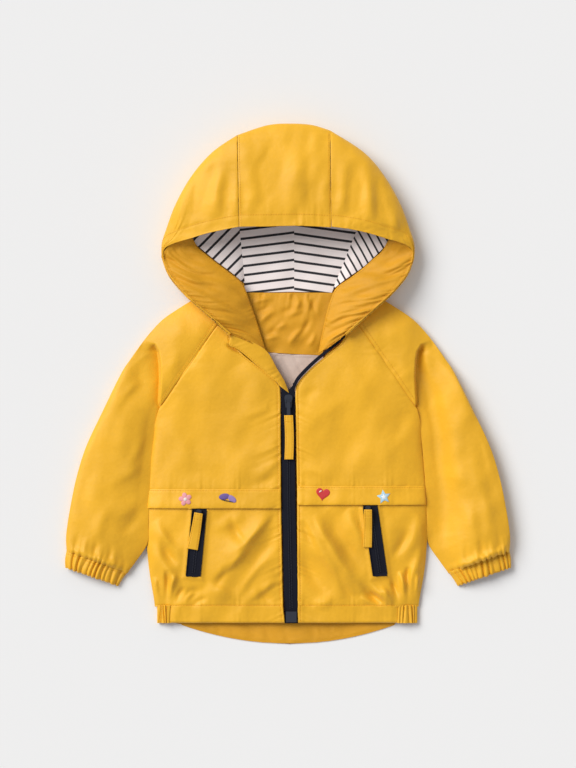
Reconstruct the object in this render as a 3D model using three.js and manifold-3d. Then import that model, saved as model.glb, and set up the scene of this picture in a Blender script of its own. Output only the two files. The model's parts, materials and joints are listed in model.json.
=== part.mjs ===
import * as THREE from "three";
import { mergeVertices } from "three/addons/utils/BufferGeometryUtils.js";
import Module from "manifold-3d";

const wasm = await Module();
wasm.setup();

// A toddler's hooded raglan windbreaker, zipped up and laid on its back on a flat surface.
// X runs across the jacket and +Y runs towards the hood. +Z is up from the surface, in millimetres.
// Left is the -X side and right the +X side, as seen by someone looking down at the front.

const SHELL = 1.5; // thickness of the outer cloth with its backing
const LINING = 1.2; // thickness of the striped and the plain lining
const TAPE = 1.2; // thickness of the zip tapes
const GAP = 0.3; // space between two pieces that are sewn to each other
const WELD = 1e-4; // points closer than this are one point
const FOLD_LIFT = 2.4; // height of a front's outer face where its edge lies on the back

const flaps = { left: { top: -137, edge: -161 }, right: { top: -133, edge: -156.5 } }; // storm flap
const CASING_TOP = -289; // stitching above the hem casing
const HEM = -310; // fold of the front hem
const ZIP_WIDTH = 17; // tape that shows between the two front edges
const FLAP_LAP = 1; // the pocket panel starts this far above the storm flap's seam line
const HEM_TUCK = 0.8; // the hem stops this far short of the elastic's stitching

const YELLOW = { color: 0xebb22f, roughness: 0.62, metalness: 0 };
const YELLOW_INSIDE = { color: 0xe0a426, roughness: 0.66, metalness: 0 };
const STRIPED = { color: 0xe6dcda, roughness: 0.85, metalness: 0 };
const PALE_LINING = { color: 0xf0dcd8, roughness: 0.85, metalness: 0 };
const NAVY = { color: 0x1b2232, roughness: 0.7, metalness: 0 };
const ZIP_RESIN = { color: 0x141a28, roughness: 0.4, metalness: 0 };

const jacket = new THREE.Group();

function add(name, geometry, finish, parent = jacket) {
  const mesh = new THREE.Mesh(geometry, new THREE.MeshStandardMaterial(finish));
  mesh.name = name;
  parent.add(mesh);
  return mesh;
}

// Several closed pieces joined into one.
function join(...geometries) {
  const solids = geometries.map((g) => {
    g.deleteAttribute("normal");
    g.deleteAttribute("uv");
    const merged = mergeVertices(g, WELD);
    return new wasm.Manifold(new wasm.Mesh({
      numProp: 3,
      vertProperties: merged.attributes.position.array,
      triVerts: new Uint32Array(merged.index.array),
    }));
  });
  const mesh = solids.reduce((all, one) => all.add(one)).getMesh();
  const geometry = new THREE.BufferGeometry();
  geometry.setAttribute("position", new THREE.BufferAttribute(mesh.vertProperties, 3));
  return geometry.setIndex(new THREE.BufferAttribute(mesh.triVerts, 1));
}

const mix = (a, b, t) => a + (b - a) * t;
const clamp = (t) => Math.min(1, Math.max(0, t));
const ease = (t) => clamp(t) ** 2 * (3 - 2 * clamp(t));

// Value of one column of a table at a place between its rows, without overshoot.
function column(rows, key, place) {
  const last = rows.length - 1;
  const at = clamp(place / last) * last;
  const i = Math.min(last - 1, Math.floor(at));
  const t = at - i;
  const v = (k) => rows[Math.min(last, Math.max(0, k))][key];
  const rise = (v(i + 1) - v(i - 1)) / 2;
  const next = (v(i + 2) - v(i)) / 2;
  const h = t * t * (3 - 2 * t);
  return mix(v(i), v(i + 1), h) + rise * t * (1 - t) ** 2 - next * t * t * (1 - t);
}

// Value of a column where another column, which only falls or only rises, has the given value.
function lookup(rows, by, key, value) {
  const falling = rows[0][by] > rows[rows.length - 1][by];
  let i = 0;
  while (i < rows.length - 2 && (falling ? rows[i + 1][by] > value : rows[i + 1][by] < value)) {
    i++;
  }
  const t = (value - rows[i][by]) / (rows[i + 1][by] - rows[i][by]);
  return column(rows, key, i + clamp(t));
}

// Direction square to a grid of points, along the cross product of its row and column steps.
function facing(grid, i, j) {
  const line = grid[i];
  const along = new THREE.Vector3().subVectors(
    grid[Math.min(grid.length - 1, i + 1)][j], grid[Math.max(0, i - 1)][j]);
  const across = new THREE.Vector3().subVectors(
    line[Math.min(line.length - 1, j + 1)], line[Math.max(0, j - 1)]);
  return along.cross(across).normalize();
}

// A closed wall of cloth. The grid holds rows of points on its outer face. Side is +1 or -1, the
// way from the outer face to the inner one, and no inner point lies lower than least.
function cloth(grid, wall, side, least = 0) {
  const rows = grid.length;
  const cols = grid[0].length;
  const inner = grid.map((line, i) =>
    line.map((p, j) => {
      const moved = p.clone().addScaledVector(facing(grid, i, j), side * wall);
      moved.z = Math.max(moved.z, least);
      return moved;
    }));
  const points = [...grid.flat(), ...inner.flat()];
  const index = [];
  const outerAt = (i, j) => i * cols + j;
  const innerAt = (i, j) => rows * cols + i * cols + j;
  const quad = (a, b, c, d) => index.push(a, b, c, a, c, d);
  for (let i = 0; i < rows - 1; i++) {
    for (let j = 0; j < cols - 1; j++) {
      quad(outerAt(i, j), outerAt(i, j + 1), outerAt(i + 1, j + 1), outerAt(i + 1, j));
      quad(innerAt(i, j), innerAt(i + 1, j), innerAt(i + 1, j + 1), innerAt(i, j + 1));
    }
  }
  for (let i = 0; i < rows - 1; i++) {
    quad(outerAt(i, 0), outerAt(i + 1, 0), innerAt(i + 1, 0), innerAt(i, 0));
    quad(outerAt(i + 1, cols - 1), outerAt(i, cols - 1), innerAt(i, cols - 1), innerAt(i + 1, cols - 1));
  }
  for (let j = 0; j < cols - 1; j++) {
    quad(outerAt(0, j + 1), outerAt(0, j), innerAt(0, j), innerAt(0, j + 1));
    quad(outerAt(rows - 1, j), outerAt(rows - 1, j + 1), innerAt(rows - 1, j + 1), innerAt(rows - 1, j));
  }
  if (side < 0) index.reverse();
  const geometry = new THREE.BufferGeometry();
  geometry.setAttribute("position",
    new THREE.Float32BufferAttribute(points.flatMap((p) => p.toArray()), 3));
  return geometry.setIndex(index);
}

const gridOf = (rows, cols, point) =>
  Array.from({ length: rows + 1 }, (_, i) =>
    Array.from({ length: cols + 1 }, (_, j) => point(i / rows, j / cols)));

// ---- Torso -------------------------------------------------------------------------------------
// The laid torso at a few heights: where its two side edges lie and how high the front stands.
const torso = [
  { y: 112, left: -118, right: 116, loft: 17 },
  { y: 85, left: -161, right: 162, loft: 18 },
  { y: 55, left: -190, right: 190, loft: 18 },
  { y: 20, left: -200, right: 200, loft: 18 },
  { y: -10, left: -188, right: 188, loft: 18 },
  { y: -31, left: -176, right: 176, loft: 18 },
  { y: -60, left: -174, right: 173, loft: 18 },
  { y: -102, left: -179, right: 176, loft: 18 },
  { y: -145, left: -182, right: 179, loft: 17 },
  { y: -187, left: -183, right: 180, loft: 16 },
  { y: -215, left: -182, right: 179, loft: 15 },
  { y: -244, left: -179, right: 176, loft: 13 },
  { y: -280, left: -174, right: 170, loft: 10 },
  { y: -310, left: -170, right: 168, loft: 8 },
];

// Height of the front's outer face over a point of the surface.
function frontHeight(x, y) {
  const left = lookup(torso, "y", "left", y);
  const right = lookup(torso, "y", "right", y);
  const across = Math.abs(x - (left + right) / 2) / ((right - left) / 2);
  const crown = (1 - clamp(across) ** 4) ** 0.5;
  return FOLD_LIFT + lookup(torso, "y", "loft", y) * crown;
}

const onFront = (x, y, lift = 0) => new THREE.Vector3(x, y, frontHeight(x, y) + lift);

// Points of a sheet moved square to it, towards side.
function movedOut(grid, distance, side) {
  return grid.map((line, i) =>
    line.map((p, j) => p.clone().addScaledVector(facing(grid, i, j), -side * distance)));
}

const CLOSER = 1.7; // columns stand closer together towards a front's outer fold

const rowsByY = (rows, down, across, point) =>
  gridOf(down, across, (v, u) => {
    const y = mix(rows[0].y, rows[rows.length - 1].y, v);
    const inner = lookup(rows, "y", "inner", y);
    const outer = lookup(rows, "y", "outer", y);
    return point(mix(inner, outer, 1 - (1 - u) ** CLOSER), y);
  });

// A front's outline is a row for each height: the edge beside the zip or the neck, and the edge
// along the side or the raglan seam.
const upperFronts = {
  left: [
    { y: 92, inner: -75, outer: -81.2 },
    { y: 72, inner: -73, outer: -95 },
    { y: 55, inner: -73, outer: -106.8 },
    { y: 41, inner: -61, outer: -116.5 },
    { y: 20, inner: -35.5, outer: -131 },
    { y: 0, inner: -13.4, outer: -145 },
    { y: -12, inner: -10.2, outer: -153.3 },
    { y: -31, inner: -9.8, outer: -166 },
    { y: -60, inner: -9.7, outer: -173.7 },
    { y: -102, inner: -9.5, outer: -178.7 },
    { y: flaps.left.top + GAP, inner: -9.5, outer: -181 },
  ],
  right: [
    { y: 92, inner: 76, outer: 81.2 },
    { y: 72, inner: 74, outer: 95 },
    { y: 55, inner: 70, outer: 106.8 },
    { y: 41, inner: 54, outer: 116.5 },
    { y: 20, inner: 29, outer: 131 },
    { y: 0, inner: 12, outer: 145 },
    { y: -12, inner: 9.8, outer: 153.3 },
    { y: -31, inner: 10.2, outer: 166 },
    { y: -60, inner: 10.6, outer: 172.7 },
    { y: -102, inner: 11.3, outer: 175.7 },
    { y: flaps.right.top + GAP, inner: 11.8, outer: 178 },
  ],
};

const lowerFronts = {
  left: [
    { y: flaps.left.top - FLAP_LAP, inner: -9.4, outer: -181.4 },
    { y: -187, inner: -8.8, outer: -182.8 },
    { y: -215, inner: -8.2, outer: -181.8 },
    { y: -244, inner: -7.6, outer: -178.8 },
    { y: CASING_TOP + GAP, inner: -6.8, outer: -172 },
  ],
  right: [
    { y: flaps.right.top - FLAP_LAP, inner: 11.9, outer: 178.4 },
    { y: -187, inner: 12.1, outer: 179.8 },
    { y: -215, inner: 12.3, outer: 178.8 },
    { y: -244, inner: 12.6, outer: 175.8 },
    { y: CASING_TOP + GAP, inner: 12.9, outer: 168.6 },
  ],
};

// At each side the hem casing is gathered by an elastic, from the side edge to a line of stitching.
const sideHem = { left: { edge: 170, stitch: 153 }, right: { edge: 168, stitch: 142.5 } };

const hemFronts = {
  left: [
    { y: CASING_TOP, inner: -6.8, outer: HEM_TUCK - sideHem.left.stitch },
    { y: HEM, inner: -4.4, outer: HEM_TUCK - sideHem.left.stitch },
  ],
  right: [
    { y: CASING_TOP, inner: 12.9, outer: sideHem.right.stitch - HEM_TUCK },
    { y: HEM, inner: 13.2, outer: sideHem.right.stitch - HEM_TUCK },
  ],
};

function makeFronts(side, sign) {
  const wall = (grid, thickness = SHELL) => cloth(grid, thickness, -sign, SHELL + GAP);
  const upper = rowsByY(upperFronts[side], 10, 7, onFront);
  const lower = rowsByY(lowerFronts[side], 6, 7, onFront);
  const hem = rowsByY(hemFronts[side], 1, 5, onFront);
  const flapRows = [flaps[side].top, flaps[side].edge].map((y) => ({
    y,
    inner: lookup(lowerFronts[side], "y", "inner", y),
    outer: lookup(lowerFronts[side], "y", "outer", y),
  }));
  const flap = movedOut(rowsByY(flapRows, 2, 7, onFront), SHELL + 2 * GAP, -sign);
  add("front_upper_" + side, wall(upper), YELLOW);
  add("front_lower_" + side, wall(lower), YELLOW);
  add("front_flap_" + side, wall(flap), YELLOW);
  add("front_hem_" + side, wall(hem), YELLOW);
}
makeFronts("left", -1);
makeFronts("right", 1);

// ---- Back --------------------------------------------------------------------------------------
// The back lies flat on the surface, so it is one flat outline. Its raglan seams run straight from
// the underarms to the neck, and its hem drops below the front in a long curve.
const RAGLAN_FOOT = { x: 163, y: -30 };
const RAGLAN_NECK = { x: 62, y: 107 };
const NECK_SEAM = { x: 50, y: 115.7 };
const TAIL = { x: 138, drop: 337.5, top: -313, middle: 2, turn: 70 };
// How far inside the front's edges the back stops.
const BACK_INSET = { side: 1.6, hem: 4, stitch: 2, notch: 1 };

function makeBack() {
  const casing = CASING_TOP + BACK_INSET.stitch;
  const outline = new THREE.Shape();
  outline.moveTo(-RAGLAN_NECK.x, RAGLAN_NECK.y);
  outline.lineTo(-RAGLAN_FOOT.x, RAGLAN_FOOT.y);
  const sideRows = torso.filter((row) => row.y < RAGLAN_FOOT.y - 1 && row.y > CASING_TOP);
  for (const row of sideRows) outline.lineTo(row.left + BACK_INSET.side, row.y);
  outline.lineTo(BACK_INSET.hem - sideHem.left.edge, casing);
  outline.lineTo(BACK_INSET.stitch - sideHem.left.stitch, casing);
  outline.lineTo(BACK_INSET.stitch - sideHem.left.stitch, HEM - BACK_INSET.notch);
  outline.lineTo(-TAIL.x, TAIL.top);
  outline.quadraticCurveTo(-TAIL.turn, -TAIL.drop, TAIL.middle, -TAIL.drop);
  outline.quadraticCurveTo(TAIL.middle + TAIL.turn, -TAIL.drop, TAIL.x, TAIL.top);
  outline.lineTo(sideHem.right.stitch - BACK_INSET.stitch, HEM - BACK_INSET.notch);
  outline.lineTo(sideHem.right.stitch - BACK_INSET.stitch, casing);
  outline.lineTo(sideHem.right.edge - BACK_INSET.hem, casing);
  for (const row of sideRows.reverse()) outline.lineTo(row.right - BACK_INSET.side, row.y);
  outline.lineTo(RAGLAN_FOOT.x, RAGLAN_FOOT.y);
  outline.lineTo(RAGLAN_NECK.x, RAGLAN_NECK.y);
  outline.lineTo(NECK_SEAM.x, NECK_SEAM.y);
  outline.lineTo(-NECK_SEAM.x, NECK_SEAM.y);
  const solid = new THREE.ExtrudeGeometry(outline,
    { depth: SHELL, bevelEnabled: false, curveSegments: 10 });
  add("back_panel", solid, YELLOW);
}
makeBack();

// ---- Sleeves and cuffs -------------------------------------------------------------------------
// Each row is one section across the sleeve, from the neck down to the cuff. Its top layer runs
// from (ax, ay), the raglan or underarm seam, out to the fold (ox, oy), and its bottom layer runs
// back along the surface to (bx, by). Rise is how far the top layer stands above a straight line.
const sleeveSections = [
  { ax: 78.5, ay: 97, ox: 109, oy: 121, bx: 67, by: 109, oz: 8, rise: 1.5 },
  { ax: 91, ay: 80, ox: 123, oy: 110, bx: 83.5, by: 86, oz: 8, rise: 3 },
  { ax: 107, ay: 57.5, ox: 139, oy: 100, bx: 104, by: 57, oz: 8, rise: 6 },
  { ax: 125, ay: 31.5, ox: 161, oy: 85, bx: 124, by: 30, oz: 9, rise: 6 },
  { ax: 142, ay: 7, ox: 176, oy: 70, bx: 142, by: 4, oz: 9, rise: 6 },
  { ax: 157, ay: -15, ox: 189, oy: 54, bx: 157, by: -16, oz: 9, rise: 7 },
  { ax: 168, ay: -31, ox: 204, oy: 33, bx: 167, by: -32, oz: 9, rise: 9 },
  { ax: 176, ay: -50, ox: 217, oy: 13, bx: 176, by: -50, oz: 9, rise: 14 },
  { ax: 182, ay: -102, ox: 240, oy: -34, bx: 182, by: -102, oz: 9, rise: 18 },
  { ax: 185, ay: -145, ox: 262, oy: -81, bx: 185, by: -145, oz: 9, rise: 19 },
  { ax: 186.5, ay: -177, ox: 274.5, oy: -121, bx: 186.5, by: -177, oz: 9, rise: 19 },
  { ax: 187, ay: -203, ox: 283, oy: -162, bx: 187, by: -203, oz: 9, rise: 18 },
  { ax: 194, ay: -224, ox: 288, oy: -196, bx: 194, by: -224, oz: 8, rise: 16 },
  { ax: 208.5, ay: -245, ox: 287.5, oy: -216.5, bx: 208.5, by: -245, oz: 7, rise: 12 },
];

const LEAST_UNDERARM = 4; // least height of the top layer's inner edge
const UNDERARM_DROP = 0.2; // the top layer leaves the front this far below its face

// Height of the top layer where it leaves the front: the front's own height down to the underarm.
const underarmHeight = (sign, row) =>
  Math.max(LEAST_UNDERARM, frontHeight(sign * row.ax, row.ay) - UNDERARM_DROP);

// A section's shares of the way round, where it folds and where it has turned under, and the powers
// that space its points, square its shoulders and round its crown.
const section = { fold: 0.5, round: 0.62, closer: 1.5, square: 2.6, crown: 0.6 };

// A point round one sleeve section. At 0 it is at the top layer's inner edge, at fold it is at the
// outer fold, and at 1 it is back at the bottom layer's inner edge.
function roundSection(row, az, q, pleat = 0) {
  const { fold, round } = section;
  if (q <= fold) {
    const p = 1 - (1 - q / fold) ** section.closer;
    const swell = (1 - Math.abs(2 * p - 1) ** section.square) ** section.crown;
    return new THREE.Vector3(mix(row.ax, row.ox, p), mix(row.ay, row.oy, p),
      mix(az, row.oz, p) + row.rise * swell + pleat * swell);
  }
  const reach = new THREE.Vector2(row.bx - row.ox, row.by - row.oy);
  const inward = reach.clone().normalize();
  if (q < round) {
    const turn = ((q - fold) / (round - fold)) * Math.PI / 2;
    const back = row.oz * (1 - Math.cos(turn));
    return new THREE.Vector3(row.ox + inward.x * back, row.oy + inward.y * back,
      row.oz * (1 - Math.sin(turn)));
  }
  const along = mix(row.oz, reach.length(), (q - round) / (1 - round));
  return new THREE.Vector3(row.ox + inward.x * along, row.oy + inward.y * along, 0);
}

const rowAt = (rows, place) =>
  Object.fromEntries(Object.keys(rows[0]).map((key) => [key, column(rows, key, place)]));

const mirrored = (grid) => grid.map((line) => line.map((p) => new THREE.Vector3(-p.x, p.y, p.z)));

function makeSleeve(side, sign) {
  const grid = gridOf(15, 12, (v, q) => {
    const row = rowAt(sleeveSections, v * (sleeveSections.length - 1));
    return roundSection(row, underarmHeight(sign, row), q);
  });
  add("sleeve_" + side, cloth(sign > 0 ? grid : mirrored(grid), SHELL, -sign), YELLOW);
}
makeSleeve("left", -1);
makeSleeve("right", 1);

// A cuff is a gathered tube of the same section, so it is drawn in from the sleeve's end.
const cuffSections = [
  { ax: 209.5, ay: -245.7, ox: 287.5, oy: -217.2, bx: 209.5, by: -245.7, oz: 7, rise: 10 },
  { ax: 213, ay: -250, ox: 289, oy: -224, bx: 213, by: -250, oz: 7.5, rise: 9 },
  { ax: 217, ay: -256, ox: 289.5, oy: -231, bx: 217, by: -256, oz: 7.5, rise: 9 },
  { ax: 220.5, ay: -262, ox: 289, oy: -238, bx: 220.5, by: -262, oz: 7, rise: 8 },
];
const cuffs = { pleats: 7, depth: 1.3, inner: 4 }; // inner is the height of the inner edge

function makeCuff(side, sign) {
  const grid = gridOf(3, 28, (v, q) => {
    const row = rowAt(cuffSections, v * (cuffSections.length - 1));
    const pleat = cuffs.depth * Math.cos(4 * Math.PI * cuffs.pleats * q);
    return roundSection(row, cuffs.inner, q, pleat);
  });
  add("cuff_" + side, cloth(sign > 0 ? grid : mirrored(grid), SHELL, -sign), YELLOW);
}
makeCuff("left", -1);
makeCuff("right", 1);

// At each side the hem casing holds a short elastic, so it is gathered there round the side seam.
const sideCasing = { pleats: 3, depth: 0.5, fold: 5, rise: 2.2 };

function makeSideElastic(side, sign) {
  const { edge, stitch } = sideHem[side];
  const grid = gridOf(2, 20, (v, q) => {
    const y = mix(CASING_TOP, HEM, v);
    const { fold: oz, rise } = sideCasing;
    const row = { ax: stitch, ay: y, ox: edge, oy: y, bx: stitch, by: y, oz, rise };
    const pleat = sideCasing.depth * Math.cos(4 * Math.PI * sideCasing.pleats * q);
    return roundSection(row, frontHeight(sign * row.ax, y), q, pleat);
  });
  add("side_elastic_" + side, cloth(sign > 0 ? grid : mirrored(grid), SHELL, -sign), YELLOW);
}
makeSideElastic("left", -1);
makeSideElastic("right", 1);

// ---- Hood --------------------------------------------------------------------------------------
// Each row is one section of the hood, from its front edge (fx, fy, fz), over the crown, whose
// outermost point is (cx, cy, cz), and back underneath to the neck seam (nx, ny, nz).
const hoodSides = [
  { fx: 63.3, fy: 203, fz: 47, cx: 66, cy: 322, cz: 26, nx: 50, ny: 116, nz: 0 },
  { fx: 82, fy: 199.5, fz: 46, cx: 98, cy: 300, cz: 26, nx: 54, ny: 116.5, nz: 0 },
  { fx: 105, fy: 194.5, fz: 43, cx: 125, cy: 269, cz: 25, nx: 58, ny: 117, nz: 0 },
  { fx: 127, fy: 188, fz: 38, cx: 145.5, cy: 233, cz: 24, nx: 64, ny: 118, nz: 0 },
  { fx: 145, fy: 183, fz: 31, cx: 158, cy: 200, cz: 21, nx: 72, ny: 120, nz: 0 },
  { fx: 158, fy: 177, fz: 26.5, cx: 163, cy: 184, cz: 19, nx: 82, ny: 123, nz: 0 },
  { fx: 161.5, fy: 169, fz: 24, cx: 164, cy: 168, cz: 18, nx: 94, ny: 127, nz: 0 },
  { fx: 158.5, fy: 155, fz: 24, cx: 160.5, cy: 153, cz: 18, nx: 106, ny: 131, nz: 0 },
  { fx: 151.5, fy: 140, fz: 28, cx: 153.5, cy: 138, cz: 21, nx: 115, ny: 132, nz: 3 },
  { fx: 137, fy: 122, fz: 34, cx: 139, cy: 120, cz: 27, nx: 116, ny: 129, nz: 13 },
  { fx: 123, fy: 108.5, fz: 37, cx: 125, cy: 106.5, cz: 31, nx: 103, ny: 119, nz: 22 },
  { fx: 102.5, fy: 90.5, fz: 37, cx: 104.5, cy: 88.5, cz: 31, nx: 88, ny: 103, nz: 23.5 },
  { fx: 88, fy: 78, fz: 35, cx: 90.5, cy: 75.5, cz: 30, nx: 78, ny: 90, nz: 23.5 },
  { fx: 74, fy: 65.5, fz: 32, cx: 77, cy: 62.5, cz: 27.5, nx: 72, ny: 76, nz: 22.5 },
];
const hoodCentre = [
  { fx: -62.6, fy: 203, fz: 47, cx: -65.2, cy: 322.3, cz: 26, nx: -49.4, ny: 116, nz: 0 },
  { fx: -28, fy: 203.2, fz: 48, cx: -26, cy: 335, cz: 26, nx: -25, ny: 116.5, nz: 0 },
  { fx: 6, fy: 204, fz: 48, cx: 6, cy: 337, cz: 26, nx: 4, ny: 117, nz: 0 },
  { fx: 31, fy: 203.5, fz: 48, cx: 32, cy: 335, cz: 26, nx: 26, ny: 116.5, nz: 0 },
  { fx: 55.6, fy: 202, fz: 47, cx: 54, cy: 328.3, cz: 26, nx: 49.4, ny: 116, nz: 0 },
];

const CROWN = 0.5; // share of a section's steps that lie above the crown line
const UNDER = 0.68; // share at which the section has turned under and lies flat
const TIGHTEST = 0.5; // the bend at the crown takes up at most this share of the back's depth

function hoodPoint(row, q) {
  if (q <= CROWN) {
    const turn = (q / CROWN) * Math.PI / 2;
    const away = Math.sin(turn);
    return new THREE.Vector3(mix(row.fx, row.cx, away), mix(row.fy, row.cy, away),
      mix(row.cz, row.fz, Math.cos(turn)));
  }
  const inward = new THREE.Vector2(row.nx - row.cx, row.ny - row.cy);
  const reach = inward.length();
  inward.normalize();
  const bend = Math.min(row.cz - row.nz, reach * TIGHTEST);
  const turn = Math.min(1, (q - CROWN) / (UNDER - CROWN)) * Math.PI / 2;
  const flat = Math.max(0, (q - UNDER) / (1 - UNDER));
  const back = mix(bend * (1 - Math.cos(turn)), reach, flat);
  return new THREE.Vector3(row.cx + inward.x * back, row.cy + inward.y * back,
    Math.max(0, row.cz - (row.cz - row.nz) * Math.sin(turn)));
}

const hoodGrid = (rows, steps, around) =>
  gridOf(steps, around, (u, q) => hoodPoint(rowAt(rows, u * (rows.length - 1)), q));

// The seam of the right side panel lies a little nearer to the middle than the left one's.
const rightSeam = { fx: 56.3, cx: 54.8, cy: 328 };

function makeHood() {
  const left = mirrored(hoodGrid(hoodSides, 16, 12));
  const right = hoodGrid(hoodSides.map((row, i) => (i ? row : { ...row, ...rightSeam })), 16, 12);
  add("hood_side_left", cloth(left, SHELL, 1), YELLOW);
  add("hood_side_right", cloth(right, SHELL, -1), YELLOW);
  add("hood_centre", cloth(hoodGrid(hoodCentre, 8, 16), SHELL, -1), YELLOW);
}
makeHood();

// The lining follows the inside of the hood. Its sections start behind the front edge and end at
// the neck, or where the facing is sewn to it, which stands off the surface by nz.
const liningCentre = [
  { fx: -63, fy: 206, fz: 42, cx: -73.4, cy: 310, cz: 25, nx: -55.5, ny: 119, nz: 2.4 },
  { fx: -28, fy: 206, fz: 43, cx: -26, cy: 330, cz: 25, nx: -25, ny: 119.5, nz: 2.4 },
  { fx: 10, fy: 207, fz: 43, cx: 8, cy: 332, cz: 25, nx: 8, ny: 120, nz: 2.4 },
  { fx: 48, fy: 205, fz: 43, cx: 68.6, cy: 310, cz: 25, nx: 34, ny: 119.5, nz: 2.4 },
  { fx: 86, fy: 201, fz: 41, cx: 117, cy: 267.6, cz: 24, nx: 57, ny: 119, nz: 2.4 },
];
const liningSides = {
  left: [
    { fx: -63.6, fy: 206, fz: 42, cx: -74.2, cy: 310, cz: 25, nx: -57.5, ny: 131, nz: 2.6 },
    { fx: -84, fy: 203, fz: 41, cx: -94, cy: 291, cz: 25, nx: -62, ny: 135, nz: 6 },
    { fx: -106, fy: 198, fz: 38, cx: -122, cy: 264, cz: 24, nx: -75, ny: 146, nz: 9 },
    { fx: -127, fy: 192, fz: 33.5, cx: -141, cy: 229, cz: 22, nx: -94, ny: 160, nz: 11 },
    { fx: -141, fy: 188, fz: 27, cx: -150, cy: 203, cz: 19, nx: -111, ny: 175, nz: 13 },
  ],
  right: [
    { fx: 86.6, fy: 201, fz: 41, cx: 117.8, cy: 267, cz: 24, nx: 60, ny: 123, nz: 5 },
    { fx: 100, fy: 199, fz: 39.5, cx: 128, cy: 251.7, cz: 24, nx: 71, ny: 133, nz: 10 },
    { fx: 112, fy: 196, fz: 37.5, cx: 137, cy: 236.8, cz: 23, nx: 82, ny: 141, nz: 12 },
    { fx: 128, fy: 192, fz: 33.5, cx: 143.5, cy: 222, cz: 22, nx: 99, ny: 153, nz: 13 },
    { fx: 141, fy: 188, fz: 27, cx: 150, cy: 203, cz: 19, nx: 116, ny: 170, nz: 13 },
  ],
};

const liningBottom = (p) => new THREE.Vector3(p.x, p.y, Math.max(p.z, SHELL + GAP));

function makeHoodLining() {
  // The outer face of a lining grid is the one that lies on the hood, so its wall goes inwards.
  const wall = (grid, side) => cloth(grid.map((line) => line.map(liningBottom)), LINING, side);
  const leftRows = liningCentre.slice(0, 3);
  const { fx, cx, nx } = leftRows[2];
  leftRows[2] = { ...leftRows[2], fx: fx - GAP, cx: cx - GAP, nx: nx - GAP };
  add("hood_lining_centre_left", wall(hoodGrid(leftRows, 4, 10), -1), STRIPED);
  add("hood_lining_centre_right", wall(hoodGrid(liningCentre.slice(2), 4, 10), -1), STRIPED);
  add("hood_lining_side_left", wall(hoodGrid(liningSides.left, 5, 10), 1), STRIPED);
  add("hood_lining_side_right", wall(hoodGrid(liningSides.right, 5, 10), -1), STRIPED);
}
makeHoodLining();

// The facing is sewn to the hood's front edge (fx, fy, fz) and slopes in to the lining's edge.
const facings = {
  left: [
    { fx: -143.8, fy: 181.5, fz: 28, sx: -125, sy: 186, sz: 17 },
    { fx: -159.3, fy: 169.5, fz: 22.5, sx: -117, sy: 178, sz: 14 },
    { fx: -156.8, fy: 155.5, fz: 23, sx: -107, sy: 169, sz: 13 },
    { fx: -149.8, fy: 141, fz: 27, sx: -93.5, sy: 158, sz: 12 },
    { fx: -135.8, fy: 123.5, fz: 33, sx: -75, sy: 144, sz: 11 },
    { fx: -122.3, fy: 110.5, fz: 36, sx: -59, sy: 130, sz: 9 },
    { fx: -101.8, fy: 92.5, fz: 36, sx: -50, sy: 108, sz: 9 },
    { fx: -87.3, fy: 80, fz: 34, sx: -44, sy: 92, sz: 9.5 },
    { fx: -73.3, fy: 67, fz: 31, sx: -36.5, sy: 69, sz: 10 },
    { fx: -50.8, fy: 55.5, fz: 25, sx: -29, sy: 44, sz: 11 },
  ],
  right: [
    { fx: 143.8, fy: 181.5, fz: 28, sx: 131, sy: 182, sz: 17 },
    { fx: 159.3, fy: 169.5, fz: 22.5, sx: 122, sy: 173, sz: 15 },
    { fx: 156.8, fy: 155.5, fz: 23, sx: 110, sy: 162, sz: 16 },
    { fx: 149.8, fy: 141, fz: 27, sx: 99, sy: 152, sz: 17 },
    { fx: 135.8, fy: 123.5, fz: 33, sx: 81, sy: 138, sz: 18 },
    { fx: 122.3, fy: 110.5, fz: 36, sx: 62, sy: 124, sz: 18 },
    { fx: 101.8, fy: 92.5, fz: 36, sx: 53, sy: 103, sz: 18 },
    { fx: 87.3, fy: 80, fz: 34, sx: 47.5, sy: 81, sz: 17 },
    { fx: 73.8, fy: 66, fz: 30, sx: 43, sy: 60, sz: 15 },
    { fx: 53.8, fy: 48.5, fz: 25, sx: 39, sy: 40, sz: 13 },
  ],
};

const FACING_BOW = 1.6; // a facing stands high beside the hood's edge and falls off towards the neck

function makeFacing(side, sign) {
  const rows = facings[side];
  const grid = gridOf(12, 5, (u, v) => {
    const row = rowAt(rows, u * (rows.length - 1));
    return new THREE.Vector3(mix(row.fx, row.sx, v), mix(row.fy, row.sy, v),
      mix(row.fz, row.sz, v ** FACING_BOW));
  });
  add("hood_facing_" + side, cloth(grid, SHELL, sign, SHELL + LINING + 2 * GAP), YELLOW_INSIDE);
}
makeFacing("left", -1);
makeFacing("right", 1);

// ---- Inside of the neck ------------------------------------------------------------------------
// The back neck facing runs from the lining down between the two front facings, and the pale body
// lining shows below it in the V of the neck.
const neckFacing = {
  top: 118.6, bottom: 41, left: -52, right: 54, narrowed: 0.8,
  seam: 3.7, lying: 4.8, crown: 3, // heights at the seam, further down and of the middle's swell
};
const bodyLining = { top: 47, bottom: -60, half: 46, lift: 0.4 };

function makeNeckInside() {
  const yoke = gridOf(6, 6, (v, u) => {
    const y = mix(neckFacing.top, neckFacing.bottom, v);
    const narrow = mix(1, neckFacing.narrowed, v);
    const x = mix(neckFacing.left, neckFacing.right, u) * narrow;
    const gather = neckFacing.crown * Math.sin(Math.PI * v) * (1 - (2 * u - 1) ** 2);
    const base = mix(neckFacing.seam, neckFacing.lying, ease(v * 5));
    return new THREE.Vector3(x, y, base + gather);
  });
  add("back_neck_facing", cloth(yoke, SHELL, -1, SHELL + 2 * GAP), YELLOW_INSIDE);
  const back = gridOf(4, 4, (v, u) => new THREE.Vector3(
    mix(-bodyLining.half, bodyLining.half, u), mix(bodyLining.top, bodyLining.bottom, v),
    SHELL + LINING + bodyLining.lift));
  add("back_lining", cloth(back, LINING, -1), PALE_LINING);
}
makeNeckInside();

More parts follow.
